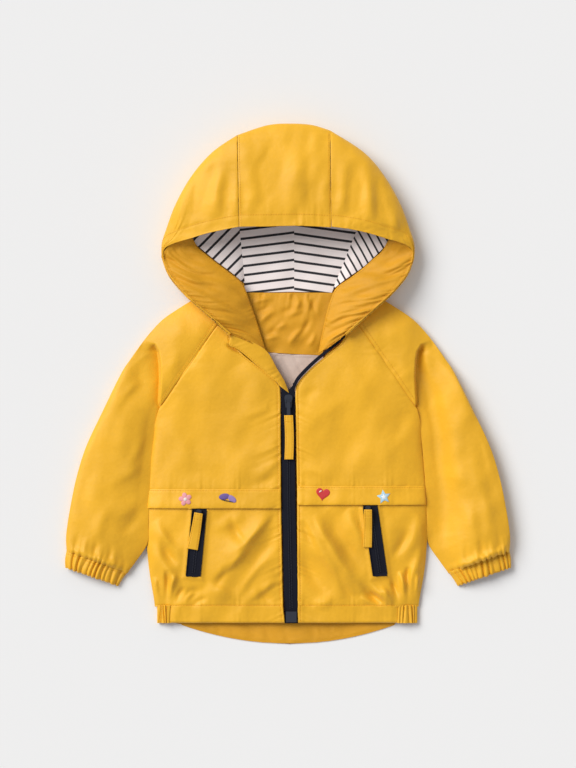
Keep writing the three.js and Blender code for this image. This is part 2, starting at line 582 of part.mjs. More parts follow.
// The left front's edge turns back into the neck above the zip. Rows run from its pointed top down
// to the slider, from the outer fold (fx, fy) to the edge inside the V (sx, sy).
const placketSections = [
  { fx: -74.5, fy: 55.5, sx: -67, sy: 61.5, drop: 0 },
  { fx: -62, fy: 42.5, sx: -50, sy: 51, drop: 1.5 },
  { fx: -36.5, fy: 20.8, sx: -29.5, sy: 39, drop: 4 },
  { fx: -22, fy: 8, sx: -15, sy: 22, drop: 6 },
  { fx: -13, fy: 0, sx: -3, sy: 5, drop: 6 },
  { fx: -9.8, fy: -8, sx: -0.5, sy: -7, drop: 5 },
];

function makePlacket() {
  const grid = gridOf(8, 3, (u, v) => {
    const row = rowAt(placketSections, u * (placketSections.length - 1));
    const x = mix(row.fx, row.sx, v);
    const y = mix(row.fy, row.sy, v);
    return onFront(x, y, SHELL + 2 * GAP - row.drop * v ** 1.5);
  });
  add("neck_placket_left", cloth(grid, SHELL, -1), YELLOW);
}
makePlacket();

// ---- Front zip ---------------------------------------------------------------------------------
// The chain's line runs from the slider down to the box at the hem. The left and right tapes meet
// on it, and the right one goes on up the edge of the V, seen on edge.
const zipLine = [
  { y: -9, middle: 0.2, sink: 2.2 },
  { y: -160, middle: 1.2, sink: 2.2 },
  { y: HEM, middle: 4.3, sink: 2.2 },
];
const zipAt = (y) => lookup(zipLine, "y", "middle", y);
const zipHeight = (y) => frontHeight(zipAt(y), y) - lookup(zipLine, "y", "sink", y);
const onZip = (across, y, lift = 0) => new THREE.Vector3(zipAt(y) + across, y, zipHeight(y) + lift);

const zipEdge = [
  { fx: 6.6, fy: -5, sx: 8.4, sy: -7 },
  { fx: 13, fy: 8.5, sx: 15.8, sy: 6 },
  { fx: 34, fy: 30, sx: 36.3, sy: 27.4 },
  { fx: 61, fy: 51.5, sx: 62.6, sy: 49.7 },
  { fx: 73, fy: 62.5, sx: 74, sy: 61.2 },
];

function makeZip() {
  const reach = ZIP_WIDTH / 2;
  const tape = (from, to) => gridOf(8, 1, (v, u) => onZip(mix(from, to, u), mix(-9, HEM, v)));
  add("zip_tape_left", cloth(tape(-reach, -GAP / 2), TAPE, -1), NAVY);
  add("zip_tape_right", cloth(tape(GAP / 2, reach), TAPE, -1), NAVY);
  const edge = gridOf(8, 1, (u, v) => {
    const row = rowAt(zipEdge, u * (zipEdge.length - 1));
    return onFront(mix(row.fx, row.sx, v), mix(row.fy, row.sy, v), TAPE + 2 * GAP);
  });
  add("zip_tape_neck_right", cloth(edge, TAPE, 1), NAVY);
}
makeZip();

// ---- Sliders and pulls -------------------------------------------------------------------------
// A slider is a low block with two ears. The hard puller turns on a barrel between the ears, and a
// folded tab of the outer cloth hangs from it.
const EAR = 1.2; // thickness of an ear
const ear = { foot: 2.2, top: 1.4, sunk: 0.5 }; // half its length at each end, and how far it is let in
const BARREL = 1.1; // radius of the puller's barrel
// The shares of a slider's length and width at which it rounds and ends.
const sliderShape = { nose: 0.25, tail: 0.36 };

// An outline in Y and Z, drawn out by width along X and centred on it.
function acrossX(outline, width) {
  return new THREE.ExtrudeGeometry(outline, { depth: width, bevelEnabled: false, curveSegments: 8 })
    .rotateX(Math.PI / 2).rotateZ(Math.PI / 2).translate(-width / 2, 0, 0);
}

function sliderGeometry({ width, length, height, grip, pivot }) {
  const plan = new THREE.Shape();
  const nose = length * sliderShape.nose;
  const tail = width * sliderShape.tail;
  plan.moveTo(-width / 2, nose);
  plan.quadraticCurveTo(-width / 2, length / 2, 0, length / 2);
  plan.quadraticCurveTo(width / 2, length / 2, width / 2, nose);
  plan.lineTo(tail, -length / 2);
  plan.lineTo(-tail, -length / 2);
  const body = new THREE.ExtrudeGeometry(plan, { depth: height, bevelEnabled: false, curveSegments: 5 });
  const side = new THREE.Shape();
  side.moveTo(-ear.foot, height - ear.sunk);
  side.lineTo(ear.foot, height - ear.sunk);
  side.lineTo(ear.top, pivot + ear.top);
  side.lineTo(-ear.top, pivot + ear.top);
  const ears = [-1, 1].map((way) =>
    acrossX(side, EAR).translate(way * (grip / 2 + GAP + EAR / 2), 0, 0));
  return join(body, ...ears);
}

function pullerGeometry({ grip, reach, plate }) {
  const outline = new THREE.Shape();
  const half = plate / 2;
  const start = Math.asin(half / BARREL);
  outline.absarc(0, 0, BARREL, -Math.PI + start, Math.PI - start, false);
  outline.lineTo(-reach, half);
  outline.lineTo(-reach, -half);
  return acrossX(outline, grip);
}

// Each pull starts at (x, y) on its slider and lies towards (tipX, tipY).
const pulls = [
  { name: "front", x: 0.6, y: -22, tipX: 1.2, tipY: -97.5,
    seat: 0, tab: 11.5, tip: 11.5, reach: 18,
    slider: { width: 10.5, length: 17, height: 4, grip: 4.6, pivot: 5.4 } },
  { name: "pocket_left", x: -115.5, y: -166, tipX: -124, tipY: -214,
    seat: TAPE + GAP, tab: 11, tip: 14.5, reach: 5,
    slider: { width: 7, length: 7.4, height: 2.6, grip: 3.4, pivot: 4 } },
  { name: "pocket_right", x: 103.5, y: -161.5, tipX: 102.8, tipY: -211.5,
    seat: TAPE + GAP, tab: 10, tip: 11.5, reach: 5,
    slider: { width: 7, length: 7.4, height: 2.6, grip: 3.4, pivot: 4 } },
];
const TAB_WALL = 1.8; // four layers of the outer cloth, stitched flat
const PLATE = 1.2; // thickness of a hard puller

function makePull({ name, x, y, tipX, tipY, seat, tab, tip, slider, reach }) {
  const base = name === "front" ? zipHeight(y) + GAP : frontHeight(x, y) + seat + GAP;
  const turn = Math.atan2(tipX - x, y - tipY);
  const place = (mesh, z) => {
    mesh.position.set(x, y, z);
    mesh.rotation.z = turn;
  };
  place(add("slider_" + name, sliderGeometry(slider), ZIP_RESIN), base);
  const pivotZ = base + slider.pivot;
  const puller = pullerGeometry({ grip: slider.grip, reach, plate: PLATE });
  place(add("puller_" + name, puller, ZIP_RESIN), pivotZ);
  const length = Math.hypot(tipX - x, tipY - y);
  const way = new THREE.Vector2(tipX - x, tipY - y).divideScalar(length);
  const grid = gridOf(7, 3, (v, u) => {
    const along = mix(reach + GAP, length, v);
    const across = (u - 0.5) * mix(tab, tip, v);
    const px = x + way.x * along - way.y * across;
    const py = y + way.y * along + way.x * across;
    const lying = frontHeight(x + way.x * along, py) + seat + TAB_WALL + 4 * GAP;
    return new THREE.Vector3(px, py, mix(pivotZ + TAB_WALL / 2, lying, ease(v * 1.6)));
  });
  add("pull_tab_" + name, cloth(grid, TAB_WALL, -1), YELLOW);
}
pulls.forEach(makePull);

// The box that ends the front zip at the hem.
const zipBox = { width: 14, length: 14, height: 3.4, above: 1 }; // above is its distance from the hem

function makeZipBox() {
  const y = HEM + zipBox.length / 2 + zipBox.above;
  const base = Math.max(zipHeight(y - zipBox.length / 2), zipHeight(y + zipBox.length / 2)) + GAP;
  const geometry = new THREE.BoxGeometry(zipBox.width, zipBox.length, zipBox.height, 1, 1, 1);
  add("zip_box", geometry, ZIP_RESIN).position.set(zipAt(y), y, base + zipBox.height / 2);
}
makeZipBox();

// ---- Pocket zips -------------------------------------------------------------------------------
// Each pocket opens along a slanting zip that is set into the lower front, under the storm flap.
const pocketZips = {
  left: { top: flaps.left.edge - 0.6, bottom: -249, xTop: -114.5, xBottom: -123, width: 18 },
  right: { top: flaps.right.edge - 0.6, bottom: -248.5, xTop: 106.2, xBottom: 119.5, width: 17.6 },
};

function makePocketZip(side, sign) {
  const { top, bottom, xTop, xBottom, width } = pocketZips[side];
  const lying = gridOf(6, 3, (v, u) =>
    onFront(mix(xTop, xBottom, v) + sign * (u - 0.5) * width, mix(top, bottom, v)));
  add("zip_pocket_" + side, cloth(movedOut(lying, TAPE + GAP, -sign), TAPE, -sign), NAVY);
}
makePocketZip("left", -1);
makePocketZip("right", 1);

// The origin is the middle of the jacket's outline, on the surface that it lies on.
const extent = new THREE.Box3().setFromObject(jacket);
jacket.position.set(
  -(extent.min.x + extent.max.x) / 2, -(extent.min.y + extent.max.y) / 2, -extent.min.z);

export default jacket;
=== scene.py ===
import json
import math

import bmesh
import bpy
import numpy as np
from mathutils import Matrix, Vector

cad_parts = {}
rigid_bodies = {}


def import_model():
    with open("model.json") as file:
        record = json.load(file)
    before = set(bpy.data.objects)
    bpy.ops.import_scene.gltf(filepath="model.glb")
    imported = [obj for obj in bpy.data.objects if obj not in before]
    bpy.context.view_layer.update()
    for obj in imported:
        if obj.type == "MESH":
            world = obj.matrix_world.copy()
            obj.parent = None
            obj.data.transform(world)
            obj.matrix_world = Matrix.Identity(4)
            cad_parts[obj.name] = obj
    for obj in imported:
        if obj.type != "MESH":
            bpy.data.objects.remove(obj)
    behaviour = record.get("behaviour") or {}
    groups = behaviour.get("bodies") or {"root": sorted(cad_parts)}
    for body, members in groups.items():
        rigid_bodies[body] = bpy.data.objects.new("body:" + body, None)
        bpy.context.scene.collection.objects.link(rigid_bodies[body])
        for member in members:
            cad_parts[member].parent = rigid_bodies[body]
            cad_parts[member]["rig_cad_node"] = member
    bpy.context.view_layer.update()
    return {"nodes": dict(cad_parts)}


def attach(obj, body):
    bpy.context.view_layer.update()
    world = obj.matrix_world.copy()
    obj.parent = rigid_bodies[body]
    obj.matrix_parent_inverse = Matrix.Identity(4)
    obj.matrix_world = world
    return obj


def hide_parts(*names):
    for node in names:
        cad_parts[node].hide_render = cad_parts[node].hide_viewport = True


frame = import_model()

scene = bpy.context.scene
jacketBody = "jacket"

# Cloth is drawn in millimetres, as a maker notes it, and turned into metres as each mesh is made.
# X runs across the jacket, +Y towards the hood, +Z up. Left is the -X side.
mm = 0.001
middleShift = 0.25  # the frame's origin is the middle of the outline, in millimetres


# Floor, light and camera.
view = {
    "distance": 5.0,  # metres above the surface
    "tall": 0.9984,  # metres of the surface that the picture's height shows
    "centreY": 0.0004,
    "floorSize": 14.0,
    "floorColour": (0.845, 0.85, 0.855),
    "ambient": 0.44,
    "ambientColour": (0.99, 0.985, 1.0),
    "keyFrom": (-0.80, 0.62, 0.85),  # the soft light stands up and to the left
    "keyStrength": 2.85,
    "keySoftness": 38,  # degrees that the light spans
    "keyColour": (1.0, 0.985, 0.96),
}


def makeView():
    camera = bpy.data.objects.new("camera", bpy.data.cameras.new("camera"))
    camera.data.lens = camera.data.sensor_width * view["distance"] / view["tall"]
    camera.location = (0, view["centreY"], view["distance"])
    scene.collection.objects.link(camera)
    scene.camera = camera
    light = bpy.data.lights.new("keyLight", "SUN")
    light.energy = view["keyStrength"]
    light.angle = math.radians(view["keySoftness"])
    light.color = view["keyColour"]
    lamp = bpy.data.objects.new("keyLight", light)
    lamp.rotation_euler = Vector(view["keyFrom"]).to_track_quat("Z", "Y").to_euler()
    scene.collection.objects.link(lamp)
    world = bpy.data.worlds.new("studio")
    world.use_nodes = True
    background = world.node_tree.nodes["Background"]
    background.inputs["Strength"].default_value = view["ambient"]
    background.inputs["Color"].default_value = (*view["ambientColour"], 1)
    scene.world = world
    scene.view_settings.view_transform = "Standard"

    half = view["floorSize"] / 2
    floorMesh = bpy.data.meshes.new("floor")
    floorMesh.from_pydata([(-half, -half, 0), (half, -half, 0), (half, half, 0), (-half, half, 0)],
                          [], [(0, 1, 2, 3)])
    floor = bpy.data.objects.new("floor", floorMesh)
    scene.collection.objects.link(floor)
    paper = bpy.data.materials.new("paleFloor")
    paper.use_nodes = True
    shader = paper.node_tree.nodes["Principled BSDF"]
    shader.inputs["Base Color"].default_value = (*view["floorColour"], 1)
    shader.inputs["Roughness"].default_value = 0.9
    shader.inputs["Specular IOR Level"].default_value = 0.1
    floor.data.materials.append(paper)


makeView()
print("view made")


# Small helpers.
def mix(a, b, t):
    return a + (b - a) * t


def ease(t):
    t = np.clip(t, 0, 1)
    return t * t * (3 - 2 * t)


def table(names, *rows):
    return dict(zip(names.split(), np.array(rows, float).T))


# A column's value between the rows of a table, on a smooth curve through them.
def column(rows, key, place):
    values = rows[key]
    last = len(values) - 1
    at = np.clip(place, 0, last)
    i = np.minimum(last - 1, np.floor(at)).astype(int)
    t = at - i
    before, here, after, beyond = (values[np.clip(i + k, 0, last)] for k in (-1, 0, 1, 2))
    h = t * t * (3 - 2 * t)
    rise = (after - before) / 2
    leave = (beyond - here) / 2
    return mix(here, after, h) + rise * t * (1 - t) ** 2 - leave * t * t * (1 - t)


# The same where another column, which only falls or only rises, has the given value.
def lookup(rows, by, key, value):
    marks = rows[by]
    places = np.arange(len(marks), dtype=float)
    if marks[0] > marks[-1]:
        marks, places = marks[::-1], places[::-1]
    return column(rows, key, np.interp(value, marks, places))


# All columns at a share of the way down a table.
def rowAt(rows, share):
    last = len(next(iter(rows.values()))) - 1
    return {key: column(rows, key, share * last) for key in rows}


def unit(v):
    return v / np.maximum(np.linalg.norm(v, axis=-1, keepdims=True), 1e-9)


# Shares from 0 to 1 about pitch apart, closer at both ends, where an edge rolls over, and closer by
# rows of stitching at the distances in sewn, from the start or, when negative, from the end.
def shares(length, pitch, edge=(0.35, 0.9, 1.7, 2.8), sewn=()):
    count = max(4, round(length / pitch))
    even = np.linspace(0, 1, count + 1)
    close = [e / length for e in edge if e < length / 3]
    dense = close + [1 - e for e in close]
    dense += [(at % length + step) / length for at in sewn for step in (-1.4, -0.7, 0, 0.7, 1.4)]
    dense = np.array(sorted(set(dense)))
    if len(dense):
        even = even[[np.abs(dense - e).min() > 0.5 * pitch / length for e in even]]
    return np.unique(np.concatenate([[0], dense, even, [1]]))


# Shares down the rows and across the columns of a grid.
def spread(rows, columns):
    return np.meshgrid(rows, columns, indexing="ij")


# Direction square to a grid of points, along the cross product of its row and column steps.
def facing(grid):
    return unit(np.cross(np.gradient(grid, axis=0), np.gradient(grid, axis=1)))


# Distances along the rows and the columns of a grid, from its first column and its first row.
def lengths(grid):
    across = np.linalg.norm(np.diff(grid, axis=1), axis=2)
    down = np.linalg.norm(np.diff(grid, axis=0), axis=2)
    across = np.concatenate([np.zeros((len(grid), 1)), np.cumsum(across, axis=1)], axis=1)
    down = np.concatenate([np.zeros((1, grid.shape[1])), np.cumsum(down, axis=0)], axis=0)
    return across, down


# Uneven smooth waves from -1 to 1 along a length, the same on each run.
def uneven(along, pitch, seed):
    rng = np.random.default_rng(seed)
    turn = 2 * np.pi / pitch
    along = along + 0.45 * pitch * np.sin(along * turn / 4.3 + rng.uniform(0, 6.3))
    total = np.zeros_like(along)
    for stretch, weight in ((1.0, 0.6), (1.7, 0.45), (0.62, 0.3)):
        total += weight * np.sin(along * turn / (stretch * rng.uniform(0.9, 1.1)) + rng.uniform(0, 6.3))
    return total * (0.75 + 0.5 * np.sin(along * turn / 6.1 + rng.uniform(0, 6.3)))


slackWaves = 14


# Soft uneven relief over x and y, from -1 to 1, for the slackness that no crease accounts for.
def slack(x, y, size, seed, stretch=1.0, way=0.0):
    rng = np.random.default_rng(seed)
    along = x * math.cos(way) + y * math.sin(way)
    aside = -x * math.sin(way) + y * math.cos(way)
    total = np.zeros_like(x)
    for wave in range(slackWaves):
        angle = rng.uniform(0, math.pi)
        length = size * rng.uniform(0.7, 1.6)
        total += np.sin((along * math.cos(angle) / stretch + aside * math.sin(angle)) * 2 * math.pi / length
                        + rng.uniform(0, 6.3))
    return total / 5


# Points and outward directions on a grid at a distance from its first column, or from another edge.
def seamPath(grid, outward, edge, away):
    normal = facing(grid) * outward
    if edge in ("top", "bottom"):
        grid, normal = grid.transpose(1, 0, 2), normal.transpose(1, 0, 2)
    if edge in ("bottom", "last"):
        grid, normal = grid[:, ::-1], normal[:, ::-1]
    across = lengths(grid)[0]
    points, normals = (np.array([[np.interp(away, across[i], values[i, :, k]) for k in range(3)]
                                 for i in range(len(values))]) for values in (grid, normal))
    return points, unit(normals)


stitch = {"length": 2.5, "gap": 0.8, "width": 0.55, "height": 0.3}
stitchRuns = []


# A row of stitching is noted here and sewn with the others once the cloth is done.
def sew(path, start=0.0, stop=1.0):
    points, normals = path
    first, last = int(start * (len(points) - 1)), int(math.ceil(stop * (len(points) - 1))) + 1
    stitchRuns.append((points[first:last], normals[first:last]))


# The dip that a row of stitching pulls into the cloth.
def sewnIn(away, at, depth=0.5):
    return -depth * np.exp(-((away - at) / 1.1) ** 2)


# Small uneven puckers that run away from a line of stitching and die out over a reach.
def puckers(away, along, pitch, depth, reach, seed, slant=0.0):
    fade = np.exp(-away / reach)
    return depth * uneven(along + slant * away, pitch, seed) * fade * (1 - np.exp(-away / 1.2))


# Height that a table of creases adds over x and y. Each crease runs between two places, bowed aside
# by bow, is highest at peak of its way, and fades out at both ends. A negative height is a trough.
# Lean makes one flank steeper than the other.
creaseNames = "x0 y0 x1 y1 bow width height peak lean"


def creased(rows, x, y):
    total = np.zeros_like(x)
    for k in range(len(rows["x0"])):
        row = {key: rows[key][k] for key in rows}
        alongX, alongY = row["x1"] - row["x0"], row["y1"] - row["y0"]
        reach = math.hypot(alongX, alongY)
        s = ((x - row["x0"]) * alongX + (y - row["y0"]) * alongY) / reach ** 2
        aside = ((x - row["x0"]) * -alongY + (y - row["y0"]) * alongX) / reach
        inside = np.clip(s, 0, 1)
        away = (aside - row["bow"] * 4 * inside * (1 - inside)) / row["width"]
        away = away * np.where(away > 0, 1 + row["lean"], 1 - row["lean"])
        fade = np.sin(math.pi * inside ** (math.log(0.5) / math.log(row["peak"]))) ** 1.3
        total += row["height"] * np.exp(-away ** 2) * np.where((s > 0) & (s < 1), fade, 0)
    return total


# A mesh of points in millimetres, linked and on its body. Its faces are turned outwards
# first where they were laid either way.
def makePiece(name, points, faces, finishes, body, turnOut):
    points = points * mm
    points[:, 1] += middleShift * mm
    mesh = bpy.data.meshes.new(name)
    mesh.from_pydata(points.tolist(), [], faces)
    if turnOut:
        edit = bmesh.new()
        edit.from_mesh(mesh)
        bmesh.ops.recalc_face_normals(edit, faces=edit.faces)
        edit.to_mesh(mesh)
        edit.free()
    mesh.polygons.foreach_set("use_smooth", [True] * len(mesh.polygons))
    for finish in finishes:
        mesh.materials.append(finish)
    piece = bpy.data.objects.new(name, mesh)
    scene.collection.objects.link(piece)
    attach(piece, body)
    return piece


# A closed thin sheet that replaces the named node, from the grid of its outer face, with a round edge
# like a fold. Outward is +1 where the cross product of the grid's row and column steps points out of
# the cloth. No point lies lower than least.
def makeSheet(node, grid, outward, wall, finish, body=jacketBody, least=0.0, uv=None):
    rows, cols = grid.shape[:2]
    inner = grid - facing(grid) * outward * wall
    inner[..., 2] = np.maximum(inner[..., 2], least)
    border = ([(0, j) for j in range(cols)] + [(i, cols - 1) for i in range(1, rows)]
              + [(rows - 1, j) for j in range(cols - 2, -1, -1)] + [(i, 0) for i in range(rows - 2, 0, -1)])
    bi, bj = (np.array(side) for side in zip(*border))
    ni, nj = np.clip(bi, 1, rows - 2), np.clip(bj, 1, cols - 2)
    rim = (grid[bi, bj] + inner[bi, bj]) / 2 + unit(grid[bi, bj] - grid[ni, nj]) * wall * 0.4
    rim[:, 2] = np.maximum(rim[:, 2], least)
    number = np.arange(rows * cols).reshape(rows, cols)
    quads = np.stack([number[:-1, :-1], number[1:, :-1], number[1:, 1:], number[:-1, 1:]], axis=-1)
    quads = quads.reshape(-1, 4)
    edge, ring = number[bi, bj], 2 * rows * cols + np.arange(len(border))
    after = np.roll(np.arange(len(border)), -1)
    faces = np.concatenate([
        quads,
        (quads + rows * cols)[:, ::-1],
        np.stack([edge, edge[after], ring[after], ring], axis=-1),
        np.stack([ring, ring[after], edge[after] + rows * cols, edge + rows * cols], axis=-1),
    ])
    if outward < 0:
        faces = faces[:, ::-1]
    points = np.concatenate([grid.reshape(-1, 3), inner.reshape(-1, 3), rim])
    piece = makePiece(node + "_cloth", points, faces.tolist(), [finish], body, False)
    mesh = piece.data
    across, down = lengths(grid)
    if uv is None:
        uv = np.stack((across, down), axis=-1)
    spots = np.concatenate([uv.reshape(-1, 2), uv.reshape(-1, 2), uv[bi, bj]]) * mm
    corners = np.empty(len(mesh.loops), int)
    mesh.loops.foreach_get("vertex_index", corners)
    mesh.uv_layers.new(name="clothUv").data.foreach_set("uv", spots[corners].ravel())
    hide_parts(node)


# Finishes.
# Values and links for a node's inputs.
def feed(tree, node, inputs):
    for name, value in inputs.items():
        if isinstance(value, bpy.types.NodeSocket):
            tree.links.new(value, node.inputs[name])
        else:
            node.inputs[name].default_value = value


def newNode(tree, kind, inputs):
    node = tree.nodes.new("ShaderNode" + kind)
    feed(tree, node, inputs)
    return node


def newFinish(name, colour, roughness):
    finish = bpy.data.materials.new(name)
    finish.use_nodes = True
    shader = finish.node_tree.nodes["Principled BSDF"]
    feed(finish.node_tree, shader, {"Base Color": (*colour, 1), "Roughness": roughness})
    return finish, finish.node_tree, shader


def objectSpace(tree):
    return tree.nodes.new("ShaderNodeTexCoord").outputs["Object"]


# The cloth's own UV, in metres, as two values.
def clothPlaces(tree):
    uv = tree.nodes.new("ShaderNodeUVMap")
    uv.uv_map = "clothUv"
    return newNode(tree, "SeparateXYZ", {"Vector": uv.outputs[0]}).outputs[:2]


def noiseNode(tree, scale, detail=3.0, rough=0.5):
    return newNode(tree, "TexNoise", {"Scale": scale, "Detail": detail, "Roughness": rough,
                                      "Vector": objectSpace(tree)}).outputs["Fac"]


def rangeNode(tree, value, low, high, fromLow=0.0, fromHigh=1.0):
    return newNode(tree, "MapRange", {"Value": value, "From Min": fromLow, "From Max": fromHigh,
                                      "To Min": low, "To Max": high}).outputs["Result"]


def mathNode(tree, kind, *values):
    node = tree.nodes.new("ShaderNodeMath")
    node.operation = kind
    feed(tree, node, dict(enumerate(values)))
    return node.outputs[0]


def blendNode(tree, first, second, factor):
    node = tree.nodes.new("ShaderNodeMix")
    node.data_type = "RGBA"
    feed(tree, node, {"A": (*first, 1), "B": (*second, 1), "Factor": factor})
    return node.outputs["Result"]


# A relief that raises the surface, over another one if given.
def bumpNode(tree, height, strength, distance, under=None):
    node = newNode(tree, "Bump", {"Strength": strength, "Distance": distance, "Height": height})
    if under:
        feed(tree, node, {"Normal": under})
    return node.outputs["Normal"]


# A fine relief that also makes the surface more or less rough, between two values.
def grained(tree, shader, relief, low, high, strength, distance, fromLow=0.0):
    feed(tree, shader, {"Roughness": rangeNode(tree, relief, low, high, fromLow),
                        "Normal": bumpNode(tree, relief, strength, distance)})


# Plain weave along the cloth's own UV: warp and weft threads a pitch apart, in metres.
def weaveNode(tree, pitch):
    warp, weft = (mathNode(tree, "SINE", mathNode(tree, "MULTIPLY", place, 2 * math.pi / pitch))
                  for place in clothPlaces(tree))
    return mathNode(tree, "MULTIPLY", warp, weft)


clothLooks = {
    "yellowShell": {"colour": (0.875, 0.455, 0.0125), "shade": 0.90, "roughness": 0.48, "sheen": 0.14,
                    "crumple": 0.7},
    # The next look is the shell's yellow painted darker: painted shade for the back's tail, the hood
    # facings and the neck facing, which lie in shadow.
    "yellowPaintedShade": {"colour": (0.735, 0.345, 0.008), "shade": 0.90, "roughness": 0.6, "sheen": 0.05,
                     "crumple": 0.8},
    # The lining look below is the lining's own pinkish colour, painted darker as painted shade for the
    # depth of the neck's V.
    "paleLiningPaintedShade": {"colour": (0.68, 0.535, 0.46), "shade": 0.93, "roughness": 0.8, "sheen": 0.1,
                   "crumple": 0.5},
    "weave": 0.0007,
    "crinkle": 0.0013,
}


# A light woven cloth: the colour shifts a little over the cloth, the weave shows close up, and fine
# crinkles and slubs roughen the light.
def clothFinish(name):
    look = clothLooks[name]
    colour, roughness = look["colour"], look["roughness"]
    finish, tree, shader = newFinish(name, colour, roughness)
    broad, fine = noiseNode(tree, 16), noiseNode(tree, 240, 4, 0.6)
    tone = mathNode(tree, "ADD", mathNode(tree, "MULTIPLY", broad, 0.75),
                    mathNode(tree, "MULTIPLY", fine, 0.25))
    dark, bright = (tuple(min(1, c * share) for c in colour) for share in (look["shade"], 1.03))
    crumple = newNode(tree, "TexNoise", {"Scale": 15, "Detail": 3, "Roughness": 0.45, "Lacunarity": 2.3,
                                         "Distortion": 0.6, "Vector": objectSpace(tree)})
    crumple.noise_type = "RIDGED_MULTIFRACTAL"
    normal = bumpNode(tree, crumple.outputs["Fac"], look["crumple"], 0.003)
    normal = bumpNode(tree, noiseNode(tree, 85, 5, 0.55), 0.5, clothLooks["crinkle"], normal)
    feed(tree, shader, {
        "Base Color": blendNode(tree, dark, bright, rangeNode(tree, tone, 0, 1, 0.35, 0.65)),
        "Roughness": rangeNode(tree, fine, roughness - 0.05, roughness + 0.07),
        "Normal": bumpNode(tree, weaveNode(tree, clothLooks["weave"]), 0.25, 0.00012, normal),
        "Sheen Weight": look["sheen"],
        "Sheen Roughness": 0.5,
        "Specular IOR Level": 0.4,
    })
    return finish


yellowShell = clothFinish("yellowShell")
yellowPaintedShade = clothFinish("yellowPaintedShade")
paleLiningPaintedShade = clothFinish("paleLiningPaintedShade")
print("cloth finishes made")


# Fronts.
# The laid torso at a few heights: where its side edges lie and how high the front stands.
torso = table("y left right loft",
    (112, -118, 116, 17), (85, -161, 162, 18), (55, -190, 190, 18), (20, -200, 200, 18),
    (-10, -188, 188, 18), (-31, -176, 176, 18), (-60, -174, 173, 18), (-102, -179, 176, 18),
    (-145, -182, 179, 17), (-187, -183, 180, 16), (-215, -182, 179, 15), (-244, -179, 176, 13),
    (-280, -174, 170, 10), (-310, -170, 168, 8))

fronts = {
    "foldLift": 2.4,  # height of a front's outer face at its edges
    "sideLift": 2.2,  # the side folds lie a little higher, over the sleeves' inner edges
    "wall": 0.8,
    "pitch": 1.8,
    "casingTop": -289,
    "hem": -310,
    "flap": {"left": (-137, -161), "right": (-133, -156.5)},
}

frontNames = "y inner outer"

# A front's outline: the edge beside the zip or the neck, and the edge along the side or raglan seam.
upperFronts = {
    "left": table(frontNames,
        (92, -75, -81.2), (72, -73, -95), (55, -73, -106.8), (41, -61, -116.5), (20, -35.5, -131),
        (0, -13.4, -145), (-12, -10.2, -153.3), (-31, -9.8, -166), (-60, -9.7, -173.7),
        (-102, -9.5, -178.7), (-136.7, -9.5, -181)),
    "right": table(frontNames,
        (92, 76, 81.2), (72, 74, 95), (55, 70, 106.8), (41, 54, 116.5), (20, 29, 131), (0, 12, 145),
        (-12, 9.8, 153.3), (-31, 10.2, 166), (-60, 10.6, 172.7), (-102, 11.3, 175.7), (-132.7, 11.8, 178)),
}
lowerFronts = {
    "left": table(frontNames,
        (-138, -9.4, -181.4), (-187, -8.8, -182.8), (-215, -8.2, -181.8), (-244, -7.6, -178.8),
        (-288.7, -6.8, -172)),
    "right": table(frontNames,
        (-134, 11.9, 178.4), (-187, 12.1, 179.8), (-215, 12.3, 178.8), (-244, 12.6, 175.8),
        (-288.7, 12.9, 168.6)),
}
sideHem = {
    "left": {"edge": 170, "stitch": 153, "pleats": 4},
    "right": {"edge": 168, "stitch": 142.5, "pleats": 5.5},
}


# Height of the front's outer face over a place, before its creases.
def frontHeight(x, y):
    left = lookup(torso, "y", "left", y)
    right = lookup(torso, "y", "right", y)
    across = np.clip(np.abs(x - (left + right) / 2) / ((right - left) / 2), 0, 1)
    side = fronts["sideLift"] * across ** 10
    return fronts["foldLift"] + side + lookup(torso, "y", "loft", y) * np.sqrt(1 - across ** 4)


